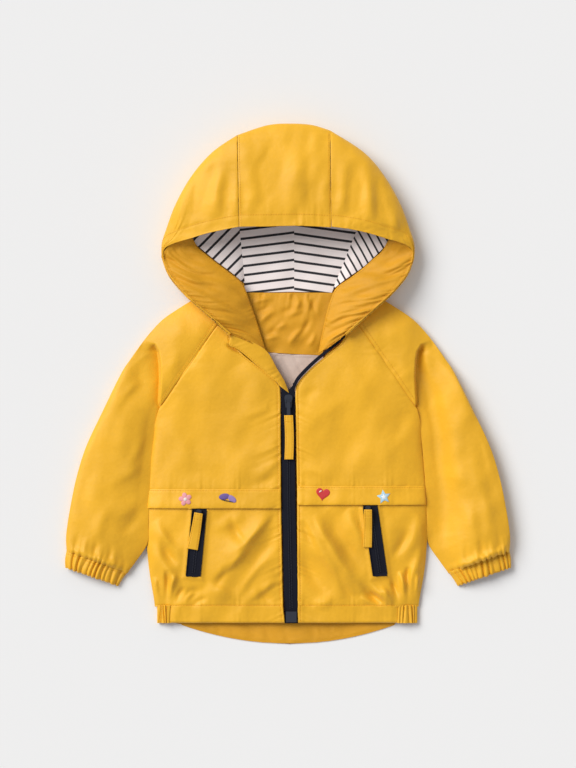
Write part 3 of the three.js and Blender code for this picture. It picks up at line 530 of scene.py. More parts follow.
# Creases over the laid body, seen from above. They follow the pull of the zip, the storm flap, the
# gathered side hem and the raglan seams.
bodyCreases = table(creaseNames,
    # upper left
    (-62, 26, -20, -52, 5, 17, 2.0, 0.4, 0.2), (-140, -20, -60, -98, -10, 26, -1.8, 0.5, 0.1),
    (-104, 52, -96, -38, -6, 20, 1.6, 0.5, 0), (-164, -44, -128, -120, 8, 13, 1.4, 0.5, 0.2),
    (-150, -112, -60, -128, 5, 12, -0.9, 0.4, 0), (-24, -30, -66, -44, 2, 5, 0.8, 0.3, 0.3),
    (-14, -78, -52, -92, 3, 6, 0.9, 0.3, 0.3), (-13, -100, -48, -122, 2, 7, 1.1, 0.35, 0.3),
    (-12, -118, -60, -134, 2, 6, -0.8, 0.4, 0),
    # upper right
    (14, -66, 82, -16, 7, 15, 2.2, 0.4, -0.2), (30, -96, 118, -60, -8, 22, -1.5, 0.5, 0),
    (60, 40, 108, -30, 6, 16, 1.7, 0.5, 0.2), (164, -50, 120, -118, -9, 14, 1.5, 0.5, 0.2),
    (152, -30, 128, -84, 5, 9, -1.0, 0.4, 0), (18, -108, 66, -126, 3, 8, 1.1, 0.35, -0.2),
    (16, -24, 42, -4, 2, 7, -0.9, 0.5, 0),
    # lower left: a broad slack fold from the zip down to the side, and its followers
    (-30, -163, -112, -262, 9, 11, 2.5, 0.45, 0.35), (-12, -178, -82, -276, 8, 10, -1.9, 0.5, 0),
    (-20, -166, -84, -226, 5, 5, 1.4, 0.4, 0.3), (-44, -200, -96, -252, 4, 4.5, 1.2, 0.5, 0.3),
    (-14, -250, -60, -284, 3, 5, 1.2, 0.4, 0.3), (-64, -222, -98, -272, -3, 5, -1.1, 0.5, 0),
    (-16, -214, -70, -282, -5, 9, 2.6, 0.5, 0.3), (-76, -172, -46, -214, -4, 6, -1.6, 0.4, 0.2),
    (-100, -186, -56, -168, -3, 8, 1.2, 0.5, 0), (-172, -176, -137, -222, -5, 9, 2.0, 0.4, 0.3),
    (-176, -204, -128, -270, -6, 9, 2.2, 0.45, 0.3), (-166, -198, -142, -236, -3, 5, -1.3, 0.5, 0),
    (-108, -262, -64, -284, 4, 8, 1.6, 0.45, 0.3), (-112, -250, -138, -284, 3, 7, -1.6, 0.6, 0),
    (-40, -262, -18, -286, -2, 6, -1.2, 0.5, 0),
    # lower right
    (22, -164, 92, -274, -9, 11, 2.9, 0.5, -0.35), (50, -164, 112, -252, -7, 9, -1.9, 0.45, 0),
    (34, -168, 76, -232, -5, 5, 1.4, 0.4, -0.3), (52, -206, 96, -262, -4, 4.5, 1.2, 0.5, -0.3),
    (18, -176, 46, -222, -3, 5, -1.2, 0.4, 0), (62, -236, 88, -284, -3, 5, -1.1, 0.5, 0),
    # beside the placket, which stands off the left front
    (-84, 53, -56, 37, 0, 2.4, -1.2, 0.5, 0), (-80, 51.8, -62, 41.6, 0, 2.1, -2.3, 0.5, 0),
    # lower right again
    (76, -162, 112, -216, -4, 8, 1.8, 0.4, 0), (14, -206, 56, -280, -5, 10, -2.2, 0.5, 0),
    (104, -246, 138, -287, -4, 6, 2.4, 0.5, -0.3), (92, -252, 122, -287, -3, 5, -1.8, 0.6, 0),
    (172, -168, 140, -230, 6, 9, 1.8, 0.4, -0.2), (174, -206, 146, -270, 5, 8, 2.0, 0.5, -0.3),
    (158, -186, 134, -226, 3, 6, -1.3, 0.5, 0), (60, -276, 30, -288, 2, 8, 1.4, 0.5, 0),
)
# Tight folds that fan up from the gathered ends of the hem.
sideGathers = table(creaseNames,
    (-166, -292, -172, -250, 2, 2.6, 1.8, 0.75, 0), (-160, -292, -158, -240, -2, 3.0, -2.0, 0.75, 0.2),
    (-154, -292, -146, -246, 2, 3.0, 2.0, 0.75, 0), (-148, -292, -134, -262, 2, 3.2, -1.5, 0.7, 0),
    (-140, -292, -120, -268, 2, 3.4, 1.3, 0.7, 0), (-130, -291, -104, -276, 1, 3.4, -1.0, 0.6, 0),
    (164, -292, 168, -246, -2, 2.6, 1.9, 0.75, 0), (158, -292, 156, -236, 2, 3.0, -2.2, 0.75, 0),
    (151, -292, 145, -242, -2, 3.0, 2.2, 0.75, 0), (144, -292, 132, -250, -2, 3.2, -1.9, 0.7, 0),
    (137, -292, 118, -258, -2, 3.4, 1.6, 0.7, 0), (128, -291, 104, -270, -2, 3.4, -1.2, 0.6, 0),
    (118, -291, 92, -276, -1, 3.4, 1.0, 0.6, 0),
)


def bodyRelief(x, y):
    relief = 2.5 * creased(bodyCreases, x, y) + 2.5 * creased(sideGathers, x, y)
    relief += 1.1 * slack(x, y, 62, 3, 1.5, 1.2) + 0.75 * slack(x, y, 27, 4, 1.9, 1.0)
    relief *= mix(1, 0.65, ease((y + 140) / 40))
    return relief * pocketCalm(x, y) + pocketWelt(x, y)


# The pocket zips hold the cloth flat round them, and the cloth folds up into a welt along each zip.
pocketLines = (((-114.5, -161), (-123, -249)), ((106.2, -157), (119.5, -248)))
pocketHalf = 8.9


def beside(line, x, y):
    (ax, ay), (bx, by) = line
    reach = math.hypot(bx - ax, by - ay)
    along = ((x - ax) * (bx - ax) + (y - ay) * (by - ay)) / reach
    aside = np.abs((x - ax) * (by - ay) - (y - ay) * (bx - ax)) / reach
    return along, aside, reach


def pocketCalm(x, y):
    calm = np.ones(x.shape)
    for line in pocketLines:
        along, aside, reach = beside(line, x, y)
        away = np.hypot(aside, np.maximum(0, np.maximum(-along, along - reach)))
        calm = np.minimum(calm, mix(0.12, 1, ease((away - 9) / 15)))
    return calm


def pocketWelt(x, y):
    total = np.zeros(x.shape)
    for line in pocketLines:
        along, aside, reach = beside(line, x, y)
        away = np.maximum(aside - pocketHalf, along - reach)
        total += np.where(along > 1, 1.7 * ease((away + 0.9) / 0.9) * (1 - ease((away - 1.0) / 6)), 0)
    return total


# A rolled edge drops the cloth as it nears the edge, like cloth turned over and stitched.
def rolled(away, drop, reach=2.6):
    return -drop * (1 - np.clip(away / reach, 0, 1)) ** 2


def onFront(x, y, lift=0.0):
    return np.stack([x, y, frontHeight(x, y) + lift + 0 * x], axis=-1)


# More columns that turn a panel's last column under: round a fold, then flat inwards.
def turnedUnder(grid, sign, radius, reach, floorHeight):
    columns = []
    for angle in np.radians((25, 50, 75, 100, 125, 150, 180)):
        turned = grid[:, -1].copy()
        turned[:, 0] += sign * radius * math.sin(angle)
        turned[:, 2] -= radius * (1 - math.cos(angle))
        columns.append(turned)
    folded = columns[-1]
    for share in (0.25, 0.6, 1.0):
        turned = folded.copy()
        turned[:, 0] -= sign * reach * share
        turned[:, 2] = mix(turned[:, 2], np.minimum(turned[:, 2], floorHeight), share)
        columns.append(turned)
    return np.concatenate([grid, np.stack(columns, axis=1)], axis=1)


# The points of a front panel between its inner and outer edges, with the relief added upwards. Lift
# is a height, or gives one at a distance down the panel. Drops are those of its rolled edges. Sewn
# gives the rows of stitching: an edge and a distance from it.
def frontPanel(rows, sign, lift, drops, pucker, under, sewn):
    top, bottom = rows["y"][0], rows["y"][-1]
    widest = np.abs(rows["outer"] - rows["inner"]).max()
    lines = dict(sewn)
    downSewn = [lines[k] * way for k, way in (("top", 1), ("bottom", -1)) if k in lines]
    acrossSewn = [lines[k] * way for k, way in (("first", 1), ("last", -1)) if k in lines]
    v, u = spread(shares(top - bottom, fronts["pitch"], sewn=downSewn),
                  shares(widest, fronts["pitch"], sewn=acrossSewn))
    y = mix(top, bottom, v)
    x = mix(lookup(rows, "y", "inner", y), lookup(rows, "y", "outer", y), u)
    grid = onFront(x, y)
    across, down = lengths(grid)
    grid[..., 2] += lift(down) if callable(lift) else lift
    away = {"first": across, "last": across[:, -1:] - across, "top": down, "bottom": down[-1:] - down}
    calm = ease(away["last"] / 9)  # the cloth lies quiet where it folds over at the side
    grid[..., 2] += bodyRelief(x, y) * mix(0.25, 1, calm)
    besideZip, besideSide = ease((-8 - y) / 20), ease((y + 30) / 20)
    grid[..., 2] += pucker * puckers(away["first"], y, 8.5, 1.0, 14, 21 + sign, 0.45) * besideZip
    grid[..., 2] += pucker * puckers(away["last"], y, 13, 0.5, 9, 31 + sign) * besideSide
    grid[..., 2] += pucker * puckers(away["bottom"], x, 9, 0.75, 10, 41 + sign)
    grid[..., 2] += pucker * puckers(away["top"], x, 11, 0.5, 9, 45 + sign)
    for key, drop in zip(away, drops):
        grid[..., 2] += rolled(away[key], drop)
    for key, distance in sewn:
        grid[..., 2] += sewnIn(away[key], distance)
    raglan = ease((y + 34) / 6)
    grid[..., 2] += rolled(away["last"], 1.5 if sign < 0 else 0.8) * raglan
    for key, distance in sewn:
        sew(seamPath(grid, sign, key, distance))
    if under:
        grid = turnedUnder(grid, sign, mix(1.1, 0.3, raglan[:, -1]), mix(12, 0.8, raglan[:, -1]), 2.4)
    return grid


# The storm flap is sewn flat along its top, and its free edge stands off the pocket.
def flapLift(down):
    return 0.3 + 0.9 * ease(down / 3.5) + 2.2 * ease((down - 3.5) / 19)


def makeFronts(side, sign):
    top, edge = fronts["flap"][side]
    flapY = np.array([top + 1.2, edge], float)
    flapRows = {"y": flapY, "inner": lookup(lowerFronts[side], "y", "inner", flapY),
                "outer": lookup(lowerFronts[side], "y", "outer", flapY) + sign * 0.3}
    tuckedHem = sideHem[side]["stitch"] + 0.6
    casing, hem = fronts["casingTop"] + 1.2, fronts["hem"]
    hemRows = {"left": table(frontNames, (casing, -6.8, -tuckedHem), (hem, -4.4, -tuckedHem)),
               "right": table(frontNames, (casing, 12.9, tuckedHem), (hem, 13.2, tuckedHem))}[side]
    zipSeam, hemSeam = ("first", 3.2), ("bottom", 1.6)
    panels = {
        "front_upper_": (upperFronts[side], sign, 0, (0.6, 0, 0.8, 0.6), 0.9, True, [zipSeam]),
        "front_lower_": (lowerFronts[side], sign, 0, (0.6, 0, 0.4, 0.1), 0.9, True, [zipSeam, hemSeam]),
        "front_flap_": (flapRows, sign, flapLift, (0.8, 0.6, 0.5, 0.5), 0.55, False, [("top", 2.4)]),
        "front_hem_": (hemRows, sign, 0.2, (0.6, 0.8, 0.1, 1.8), 0.6, False, [zipSeam]),
    }
    for name, panel in panels.items():
        makeSheet(name + side, frontPanel(*panel), sign, fronts["wall"], yellowShell,
                  least=1.6)


makeFronts("left", -1)
makeFronts("right", 1)
print("fronts made")


# Back.
backOutline = {
    "raglanFoot": (163, -30), "raglanNeck": (62, 107), "neckSeam": (50, 115.7),
    "tailX": 138, "tailTop": -313, "tailDrop": -337.2, "wall": 1.3, "inset": 9,
}


# Half widths of the back at a height: the raglan slope, the side seams, then the curved tail.
def backEdge(y, side):
    sign = -1 if side == "left" else 1
    foot, neck, seam = (backOutline[k] for k in ("raglanFoot", "raglanNeck", "neckSeam"))
    sideX = sign * lookup(torso, "y", side, y) - backOutline["inset"]
    slope = np.interp(y, [foot[1], neck[1], seam[1]], [foot[0], neck[0], seam[0]])
    tucked = sideHem[side]["stitch"] - 2
    half = np.where(y > foot[1], slope, np.where(y > fronts["casingTop"] + 2, sideX, tucked))
    top, drop = backOutline["tailTop"], backOutline["tailDrop"]
    tail = mix(2.0 * sign, backOutline["tailX"], np.sqrt(np.clip((y - drop) / (top - drop), 0, 1)))
    return sign * np.where(y < fronts["hem"] - 1, np.minimum(tail, half), half)


# Height of the tail's curved edge below a place.
def backEdgeBottom(x):
    share = np.clip(np.abs(x) / backOutline["tailX"], 0, 1)
    return mix(backOutline["tailDrop"], backOutline["tailTop"], share ** 2)


def makeBack():
    down = np.concatenate([np.linspace(115.7, -286.9, 90), np.linspace(-287.1, -312, 12),
                           -312 - 25.4 * (1 - np.cos(np.linspace(0.1, math.pi / 2, 22)))])
    down = np.unique(np.round(down, 3))[::-1]
    y, u = spread(down, shares(330, 5.0))
    x = mix(backEdge(y, "left"), backEdge(y, "right"), u)
    hanging = ease((-312 - y) / 6) * ease((y - backEdgeBottom(x)) / 5)
    relief = 0.8 * uneven(x + 0.3 * y, 17, 7) * hanging + 0.5 * hanging
    grid = np.stack([x, y, backOutline["wall"] + np.maximum(0, relief)], axis=-1)
    # The tail takes the darker yellow: painted shade where it lies under the front's hem.
    makeSheet("back_panel", grid, 1, backOutline["wall"], yellowPaintedShade)


makeBack()
print("back made")


# Sleeves and cuffs.
# Each row is one section across the sleeve, from the neck to the cuff: its top layer runs from the
# raglan or underarm seam (ax, ay) out to the fold (ox, oy), its bottom layer back to (bx, by).
sleeveSections = table("ax ay ox oy bx by oz rise",
    (78.5, 97, 109, 121, 67, 109, 8, 1.5), (91, 80, 123, 110, 83.5, 86, 8, 3),
    (107, 57.5, 139, 100, 104, 57, 8, 6), (125, 31.5, 161, 85, 124, 30, 9, 6),
    (142, 7, 176, 70, 142, 4, 9, 6), (157, -15, 189, 54, 157, -16, 9, 7),
    (168, -31, 204, 33, 167, -32, 9, 9), (176, -50, 217, 13, 176, -50, 9, 14),
    (182, -102, 240, -34, 182, -102, 9, 18), (185, -145, 262, -81, 185, -145, 9, 19),
    (186.5, -177, 274.5, -121, 186.5, -177, 9, 19), (187, -203, 283, -162, 187, -203, 9, 18),
    (194, -224, 288, -196, 194, -224, 8, 16), (208.5, -245, 287.5, -216.5, 208.5, -245, 7, 12))
cuffSections = table("ax ay ox oy bx by oz rise",
    (208.2, -244.1, 287.2, -215.2, 208.2, -244.1, 7, 10), (213, -250, 289, -224, 213, -250, 7.5, 9),
    (217, -256, 289.5, -231, 217, -256, 7.5, 9), (220.5, -262, 289, -238, 220.5, -262, 7, 8))
sleeves = {
    "pitch": 2.1, "wall": 0.8, "fold": 0.5, "round": 0.62,
    "tuck": 5.5,  # how far the sleeve's inner edge lies under the body's side
    "tuckHeight": 1.9,
    "ridge": 5.0,  # the right sleeve bulges where the body's side presses on it
    "shelf": {"left": 0, "right": 13},  # width of the sleeve's low strip beside the body
    "lap": 1.3,  # the sleeve's edge laps over the front along the raglan seam
    "cuffPitch": 1.0, "cuffGathers": 11.5, "gatherDepth": 4.8,
}
# The line over which the body lies: from the shoulder, where the sleeve folds down beside the
# front, past the underarm and along the body's side to the cuff.
dropLine = table("x y",
    (191, 58), (181, 55), (173, 50.5), (168, 42), (166, 28), (165.3, 10), (166.3, -12), (168.5, -34),
    (174, -60), (177, -102), (180, -145), (181, -187), (181.5, -203), (188, -222), (205, -245))

# Creases over the laid sleeves, seen from above, for the left one and the right one.
sleeveCreases = table(creaseNames,
    (-188, 40, -214, -40, 6, 15, -2.2, 0.4, 0), (-206, 30, -236, -60, -7, 13, 2.0, 0.5, 0.2),
    (-176, -20, -196, -120, 7, 10, -1.8, 0.5, 0), (-196, -40, -212, -140, 5, 15, 1.6, 0.5, 0.2),
    (-186, -96, -236, -130, 6, 7, 1.3, 0.4, 0.3), (-184, -60, -214, -112, 5, 5, 1.0, 0.4, 0.3),
    (-190, 6, -226, -42, -5, 6, 1.0, 0.4, 0.2), (-238, -40, -262, -110, -5, 6, 0.9, 0.5, 0.2),
    (-184, -138, -232, -176, 6, 9, 1.6, 0.45, 0.3),
    (-188, -158, -222, -196, 4, 7, -1.4, 0.5, 0), (-250, -96, -268, -178, -5, 9, -1.1, 0.5, 0),
    (-226, -150, -248, -214, -6, 9, 1.6, 0.5, 0), (-130, 84, -176, 60, 6, 14, 1.1, 0.5, 0),
    (-118, 62, -150, 4, 5, 12, -1.0, 0.5, 0), (-140, 46, -158, 10, 3, 7, 0.9, 0.5, 0),
    # gathers above the left cuff
    (-283, -212, -279.5, -189.6, 2, 3.2, 0.87, 0.3, 0), (-274, -216, -269.8, -189.4, 2, 3.2, -0.93, 0.3, 0),
    (-264, -220, -258.4, -196.2, 2, 3.4, 1.05, 0.3, 0),
    (-254, -224, -249.1, -194.6, -2, 3.5, -0.99, 0.3, 0),
    (-244, -228, -239.8, -205.6, 2, 3.5, 1.05, 0.3, 0),
    (-234, -231, -231.2, -202.3, -2, 3.5, -1.05, 0.3, 0),
    (-225, -236, -222.2, -212.2, 2, 3.2, 0.93, 0.3, 0),
    (-216, -240, -213.2, -220.4, -2, 2.9, -0.74, 0.3, 0),
    # right sleeve
    (186, 44, 212, -36, -6, 14, -2.6, 0.4, 0), (206, 30, 238, -62, 7, 13, 2.2, 0.5, -0.2),
    (176, -20, 194, -124, -7, 10, -2.0, 0.5, 0), (198, -34, 216, -150, -6, 15, 1.8, 0.5, -0.2),
    (188, -102, 240, -128, -6, 7, 1.2, 0.4, -0.3), (184, -64, 218, -110, -5, 5, 1.0, 0.4, -0.3),
    (204, 26, 246, -40, 5, 6, 1.0, 0.5, -0.2), (246, -60, 262, -120, 4, 5, 0.9, 0.5, -0.2),
    (184, -146, 226, -190, -5, 8, 1.5, 0.45, -0.3),
    (244, -80, 268, -160, 5, 9, -1.2, 0.5, 0), (238, -110, 262, -200, 6, 8, 1.4, 0.5, 0),
    (222, -150, 244, -214, 6, 10, 1.8, 0.5, 0), (130, 84, 176, 60, -6, 14, 1.0, 0.5, 0),
    (116, 66, 148, 8, -5, 12, -1.0, 0.5, 0), (142, 40, 160, 4, -3, 7, 0.9, 0.5, 0),
    # gathers above the right cuff
    (283, -212, 280.2, -191, -2, 3.2, 0.87, 0.3, 0), (273, -216, 269.5, -188, -2, 3.2, -0.93, 0.3, 0),
    (264, -220, 259.8, -199, -2, 3.4, 1.05, 0.3, 0), (254, -224, 249.8, -193.2, 2, 3.5, -1.05, 0.3, 0),
    (244, -228, 240.5, -207, -2, 3.5, 1.12, 0.3, 0), (234, -231, 230.5, -200.9, 2, 3.5, -1.05, 0.3, 0),
    (224, -236, 221.9, -215, -2, 3.2, 0.93, 0.3, 0), (216, -240, 213.9, -221.8, 2, 2.9, -0.74, 0.3, 0),
)


# Points round a section, from its top layer's inner edge at 0 over the fold to its bottom's at 1.
def roundSection(row, az, q, rounding=0.85):
    fold, turned = sleeves["fold"], sleeves["round"]
    p = 1 - (1 - np.clip(q / fold, 0, 1)) ** 1.5
    swell = np.sin(math.pi * p ** 0.9) ** rounding
    top = np.stack([mix(row["ax"], row["ox"], p), mix(row["ay"], row["oy"], p),
                    mix(az, row["oz"], p) + row["rise"] * swell], axis=-1)
    inX, inY = row["bx"] - row["ox"], row["by"] - row["oy"]
    reach = np.hypot(inX, inY)
    turn = np.clip((q - fold) / (turned - fold), 0, 1) * math.pi / 2
    flat = np.clip((q - turned) / (1 - turned), 0, 1)
    back = np.where(q < turned, row["oz"] * (1 - np.cos(turn)), mix(row["oz"], reach, flat))
    under = np.stack([row["ox"] + inX / reach * back, row["oy"] + inY / reach * back,
                      row["oz"] * (1 - np.sin(turn))], axis=-1)
    return np.where((q <= fold)[..., None], top, under), swell * (q <= fold)


# How far a place lies outwards of a line of points.
def beyond(line, x, y):
    best = np.full(x.shape, 1e9)
    signed = np.zeros(x.shape)
    for k in range(len(line["x"]) - 1):
        ax, ay, bx, by = line["x"][k], line["y"][k], line["x"][k + 1], line["y"][k + 1]
        s = np.clip(((x - ax) * (bx - ax) + (y - ay) * (by - ay)) / ((bx - ax) ** 2 + (by - ay) ** 2), 0, 1)
        away = np.hypot(x - mix(ax, bx, s), y - mix(ay, by, s))
        side = np.sign((y - ay) * (bx - ax) - (x - ax) * (by - ay))
        signed = np.where(away < best, away * side, signed)
        best = np.minimum(away, best)
    return signed


def underarmHeight(sign, row):
    return np.maximum(4, frontHeight(sign * row["ax"], row["ay"]) - 0.2)


def turned(grid, sign):
    return grid if sign > 0 else grid * np.array([-1.0, 1, 1])


# Height of the sleeve's top layer beside the body: low where the body lies over it, then a soft
# hump that turns over at the outer fold.
def sleeveHump(row, x, y, q, shelf):
    chord = np.hypot(row["ox"] - row["ax"], row["oy"] - row["ay"])
    left = chord * (1 - np.clip(q / sleeves["fold"], 0, 1)) ** 1.5
    away = np.clip(beyond(dropLine, x, y), 0, None)
    wide = away + left + 0.01
    along = ease((40 - y) / 60) * ease((y + 235) / 60)
    ridge = ease(away / 2.5) * (1 - ease(away / 27)) * along * (shelf > 5)
    away = np.clip(away - shelf * along, 0, None)
    f = away / wide
    inner = 1.7 if shelf > 5 else 0.4
    swell = np.sin(math.pi * f) ** mix(inner, 0.55, ease((f - 0.1) / 0.35))
    low = sleeves["tuckHeight"]
    tall = np.minimum(17, 0.22 * wide) * (1 if shelf > 5 else 0.7)
    return mix(low, row["oz"], f) + tall * swell + sleeves["ridge"] * ridge, swell


# Pleats round an elastic: rounded ridges and narrow valleys, uneven in pitch, depth and slant.
def gathers(q, v, count, depth, seed):
    rng = np.random.default_rng(seed)
    fold = sleeves["fold"]
    across = np.where(q <= fold, 1 - (1 - np.clip(q / fold, 0, 1)) ** 1.5, 1 + (q - fold) / (1 - fold))
    first, second, third = rng.uniform(0, 6.3, 3)
    shift = 0.22 * np.sin(9 * across + first) + 0.10 * np.sin(23 * across + second)
    shift += 0.05 * np.sin(41 * across + third)
    slant = 0.45 * np.sin(7 * across + second) * (v - 0.5)
    ridge = np.abs(np.sin(math.pi * (across * count + shift + slant))) ** 0.75
    deep = 0.72 + 0.36 * np.sin(17 * across + third)
    return depth * deep * (ridge - 0.62)


def makeSleeve(side, sign):
    v, q = spread(shares(400, sleeves["pitch"]), shares(230, sleeves["pitch"]))
    row = rowAt(sleeveSections, v)
    joined = ease((row["ay"] + 34) / 8)  # 1 along the raglan seam, 0 below the underarm
    grid, swell = roundSection(row, underarmHeight(sign, row), q)
    top = q < sleeves["fold"]
    x, y = grid[..., 0].copy(), grid[..., 1].copy()
    hump, humpSwell = sleeveHump(row, x, y, q, sleeves["shelf"][side])
    step = mix(3.2, 16, ease((x - 170) / 14) * ease((y - 38) / 8))
    over = ease((beyond(dropLine, x, y) + 1.5) / step) * top
    over = np.maximum(over, (1 - joined) * top)
    grid[..., 2] = mix(grid[..., 2], hump, over)
    tucked = ease((row["ay"] + 232) / 30) * (1 - joined)
    inward = np.clip(1 - q / 0.035, 0, 1) + np.clip((q - 0.965) / 0.035, 0, 1)
    lap = np.clip(1 - q / 0.02, 0, 1) * sleeves["lap"] * joined
    grid[..., 0] -= inward * sleeves["tuck"] * tucked + 0.8 * lap
    grid[..., 1] -= 0.6 * lap
    grid = turned(grid, sign)
    across, down = lengths(grid)
    x *= sign
    relief = 1.7 * creased(sleeveCreases, x, y) + 0.8 * slack(x, y, 62, 11, 1.5, 1.2 * sign)
    relief += 0.6 * slack(x, y, 26, 12, 1.8, 1.2 * sign)
    relief += puckers(across, down, 11, 0.6, 9, 51 + sign) * joined + sewnIn(across, 5.0) * joined
    soft = mix(np.where(swell > 0, np.maximum(swell, 0.75), 0), humpSwell, over)
    soft *= ease((sleeves["fold"] - q) / 0.05)
    grid[..., 2] += relief * soft * top
    fromEnd = down[-1:] - down
    near = np.exp(-fromEnd / 6.5) * (1 + 0.8 * uneven(q * 400, 31, 81 + sign) * ease(fromEnd / 8))
    pleats = gathers(q, 0 * v, sleeves["cuffGathers"], sleeves["gatherDepth"], 61 + sign)
    grid[..., 2] += np.sqrt(swell) * pleats * near
    grid[..., 2] += 3.2 * swell * np.exp(-((fromEnd - 5) / 4.5) ** 2) + swell * rolled(fromEnd, 2.2, 4)
    ruffle = (0.45 * pleats + 0.9 * uneven(q * 400, 19, 85 + sign)) * np.exp(-fromEnd / 4) * top
    grid[..., 0] += sign * 0.3 * ruffle
    grid[..., 1] -= 0.9 * ruffle
    grid[..., 2] += rolled(across, 0.5) * joined
    least = mix(sleeves["tuckHeight"], 1.2, 1 - ease((row["ay"] + 232) / 30))
    grid[..., 2] = np.where(top, np.maximum(grid[..., 2], least), grid[..., 2])
    sewnRows = int((joined[:, 0] > 0.5).sum())
    points, normals = seamPath(grid, sign, "first", 5.0)
    sew((points[2:sewnRows], normals[2:sewnRows]))
    makeSheet("sleeve_" + side, grid, sign, sleeves["wall"], yellowShell)


def makeCuff(side, sign):
    around = 300
    v, q = spread(shares(25.5, sleeves["cuffPitch"]), np.linspace(0, 1, around))
    row = rowAt(cuffSections, v)
    grid, swell = roundSection(row, 3.0, q, 0.6)
    pleats = gathers(q, v, sleeves["cuffGathers"], sleeves["gatherDepth"], 61 + sign)
    down = lengths(grid)[1]
    grid[..., 2] += (pleats - 0.9 * (1 - ease(v * 6))) * np.sqrt(swell)
    dips = rolled(down[-1:] - down, 1.6, 2.4) + sewnIn(down, 4.5, 0.7) + sewnIn(down, 21.5, 0.5)
    grid[..., 2] += swell * dips
    frill = 0.45 * (pleats + 0.4) * ease((v - 0.6) / 0.4) * (q < sleeves["fold"])
    grid[..., 0] += 0.5 * frill
    grid[..., 1] -= 0.85 * frill
    grid[..., 2] = np.maximum(grid[..., 2], 0)
    grid = turned(grid, sign)
    upper = grid[:, :int(around * sleeves["fold"])]
    sew(seamPath(upper, sign, "top", 4.5))
    sew(seamPath(upper, sign, "bottom", 3.0))
    makeSheet("cuff_" + side, grid, sign, sleeves["wall"], yellowShell)


def makeSideElastic(side, sign):
    edge, stitch = sideHem[side]["edge"], sideHem[side]["stitch"] - 0.6
    v, q = spread(shares(23, 0.9), shares(42, 0.4))
    y = mix(fronts["casingTop"] + 1.6, fronts["hem"], v)
    section = {"ax": stitch, "ox": edge, "bx": stitch, "oz": 5, "rise": 2.2}
    row = {key: np.full_like(y, value) for key, value in section.items()} | {"ay": y, "oy": y, "by": y}
    grid, swell = roundSection(row, frontHeight(sign * row["ax"], y), q, 0.6)
    grid = turned(grid, sign)
    grid[..., 2] += swell ** 0.5 * gathers(q, v, sideHem[side]["pleats"], 4.6, 71 + sign)
    makeSheet("side_elastic_" + side, grid, sign, sleeves["wall"], yellowShell)


for side, sign in (("left", -1), ("right", 1)):
    makeSleeve(side, sign)
    makeCuff(side, sign)
    makeSideElastic(side, sign)
print("sleeves made")


# Hood.
# Each row is one section of the hood, from its front edge (fx, fy, fz), over the crown, whose
# outermost point is (cx, cy, cz), and back underneath to the neck seam (nx, ny, nz).
hoodNames = "fx fy fz cx cy cz nx ny nz"
hoodSides = table(hoodNames,
    (63.3, 203, 47, 66, 322, 26, 50, 116, 0), (82, 199.5, 46, 98, 300, 26, 54, 116.5, 0),
    (105, 194.5, 43, 125, 269, 25, 58, 117, 0), (127, 188, 38, 145.5, 233, 24, 64, 118, 0),
    (145, 183, 31, 158, 200, 21, 72, 120, 0), (158, 177, 26.5, 163, 184, 19, 82, 123, 0),
    (161.5, 169, 24, 164, 168, 18, 94, 127, 0), (158.5, 155, 24, 160.5, 153, 18, 106, 131, 0),
    (151.5, 140, 28, 153.5, 138, 21, 115, 132, 3), (137, 122, 34, 139, 120, 27, 116, 129, 13),
    (123, 108.5, 37, 125, 106.5, 31, 103, 119, 22), (102.5, 90.5, 37, 104.5, 88.5, 31, 88, 103, 23.5),
    (88, 78, 35, 90.5, 75.5, 30, 78, 90, 23.5), (74, 65.5, 32, 77, 62.5, 27.5, 72, 76, 22.5))
hoodCentre = table(hoodNames,
    (-62.6, 203, 47, -65.2, 322.3, 26, -49.4, 116, 0), (-28, 203.2, 48, -26, 335, 26, -25, 116.5, 0),
    (6, 204, 48, 6, 337, 26, 4, 117, 0), (31, 203.5, 48, 32, 335, 26, 26, 116.5, 0),
    (55.6, 202, 47, 54, 328.3, 26, 49.4, 116, 0))
hood = {"crown": 0.5, "under": 0.68, "wall": 0.8, "liningWall": 0.7, "pitch": 2.6,
        "rightSeam": {"fx": 56.3, "cx": 54.8, "cy": 328}, "brim": 15, "brimSeam": 0.5}

# Creases over the laid hood, seen from above: they run from the brim's stitching to the crown.
hoodCreases = table(creaseNames,
    (-140, 200, -126, 262, 4, 8, 1.7, 0.4, 0.2), (-118, 212, -100, 290, 5, 10, -1.8, 0.4, 0),
    (-98, 216, -88, 300, -4, 9, 1.9, 0.4, 0.2), (-80, 216, -72, 280, 4, 8, -1.2, 0.4, 0),
    (-66, 218, -64, 268, 2, 6, 1.2, 0.4, 0), (-48, 218, -56, 318, -5, 11, 1.4, 0.4, 0),
    (-24, 218, -14, 320, 6, 14, -1.2, 0.45, 0), (10, 219, 2, 330, -5, 12, 1.4, 0.4, 0),
    (34, 218, 28, 300, 4, 10, -1.1, 0.4, 0), (48, 218, 50, 280, 2, 7, 1.0, 0.4, 0),
    (66, 216, 74, 298, -4, 9, 1.8, 0.4, 0), (86, 214, 88, 292, 5, 10, -1.9, 0.4, 0),
    (106, 212, 98, 284, -4, 8, 1.7, 0.4, 0), (124, 206, 120, 262, 4, 8, -1.6, 0.4, 0),
    (142, 196, 138, 236, 3, 7, 1.3, 0.4, 0), (-152, 184, -150, 214, 3, 6, -1.0, 0.5, 0),
    (-120, 262, -70, 300, 6, 10, 1.0, 0.5, 0), (118, 258, 72, 302, -6, 10, 1.0, 0.5, 0),
)


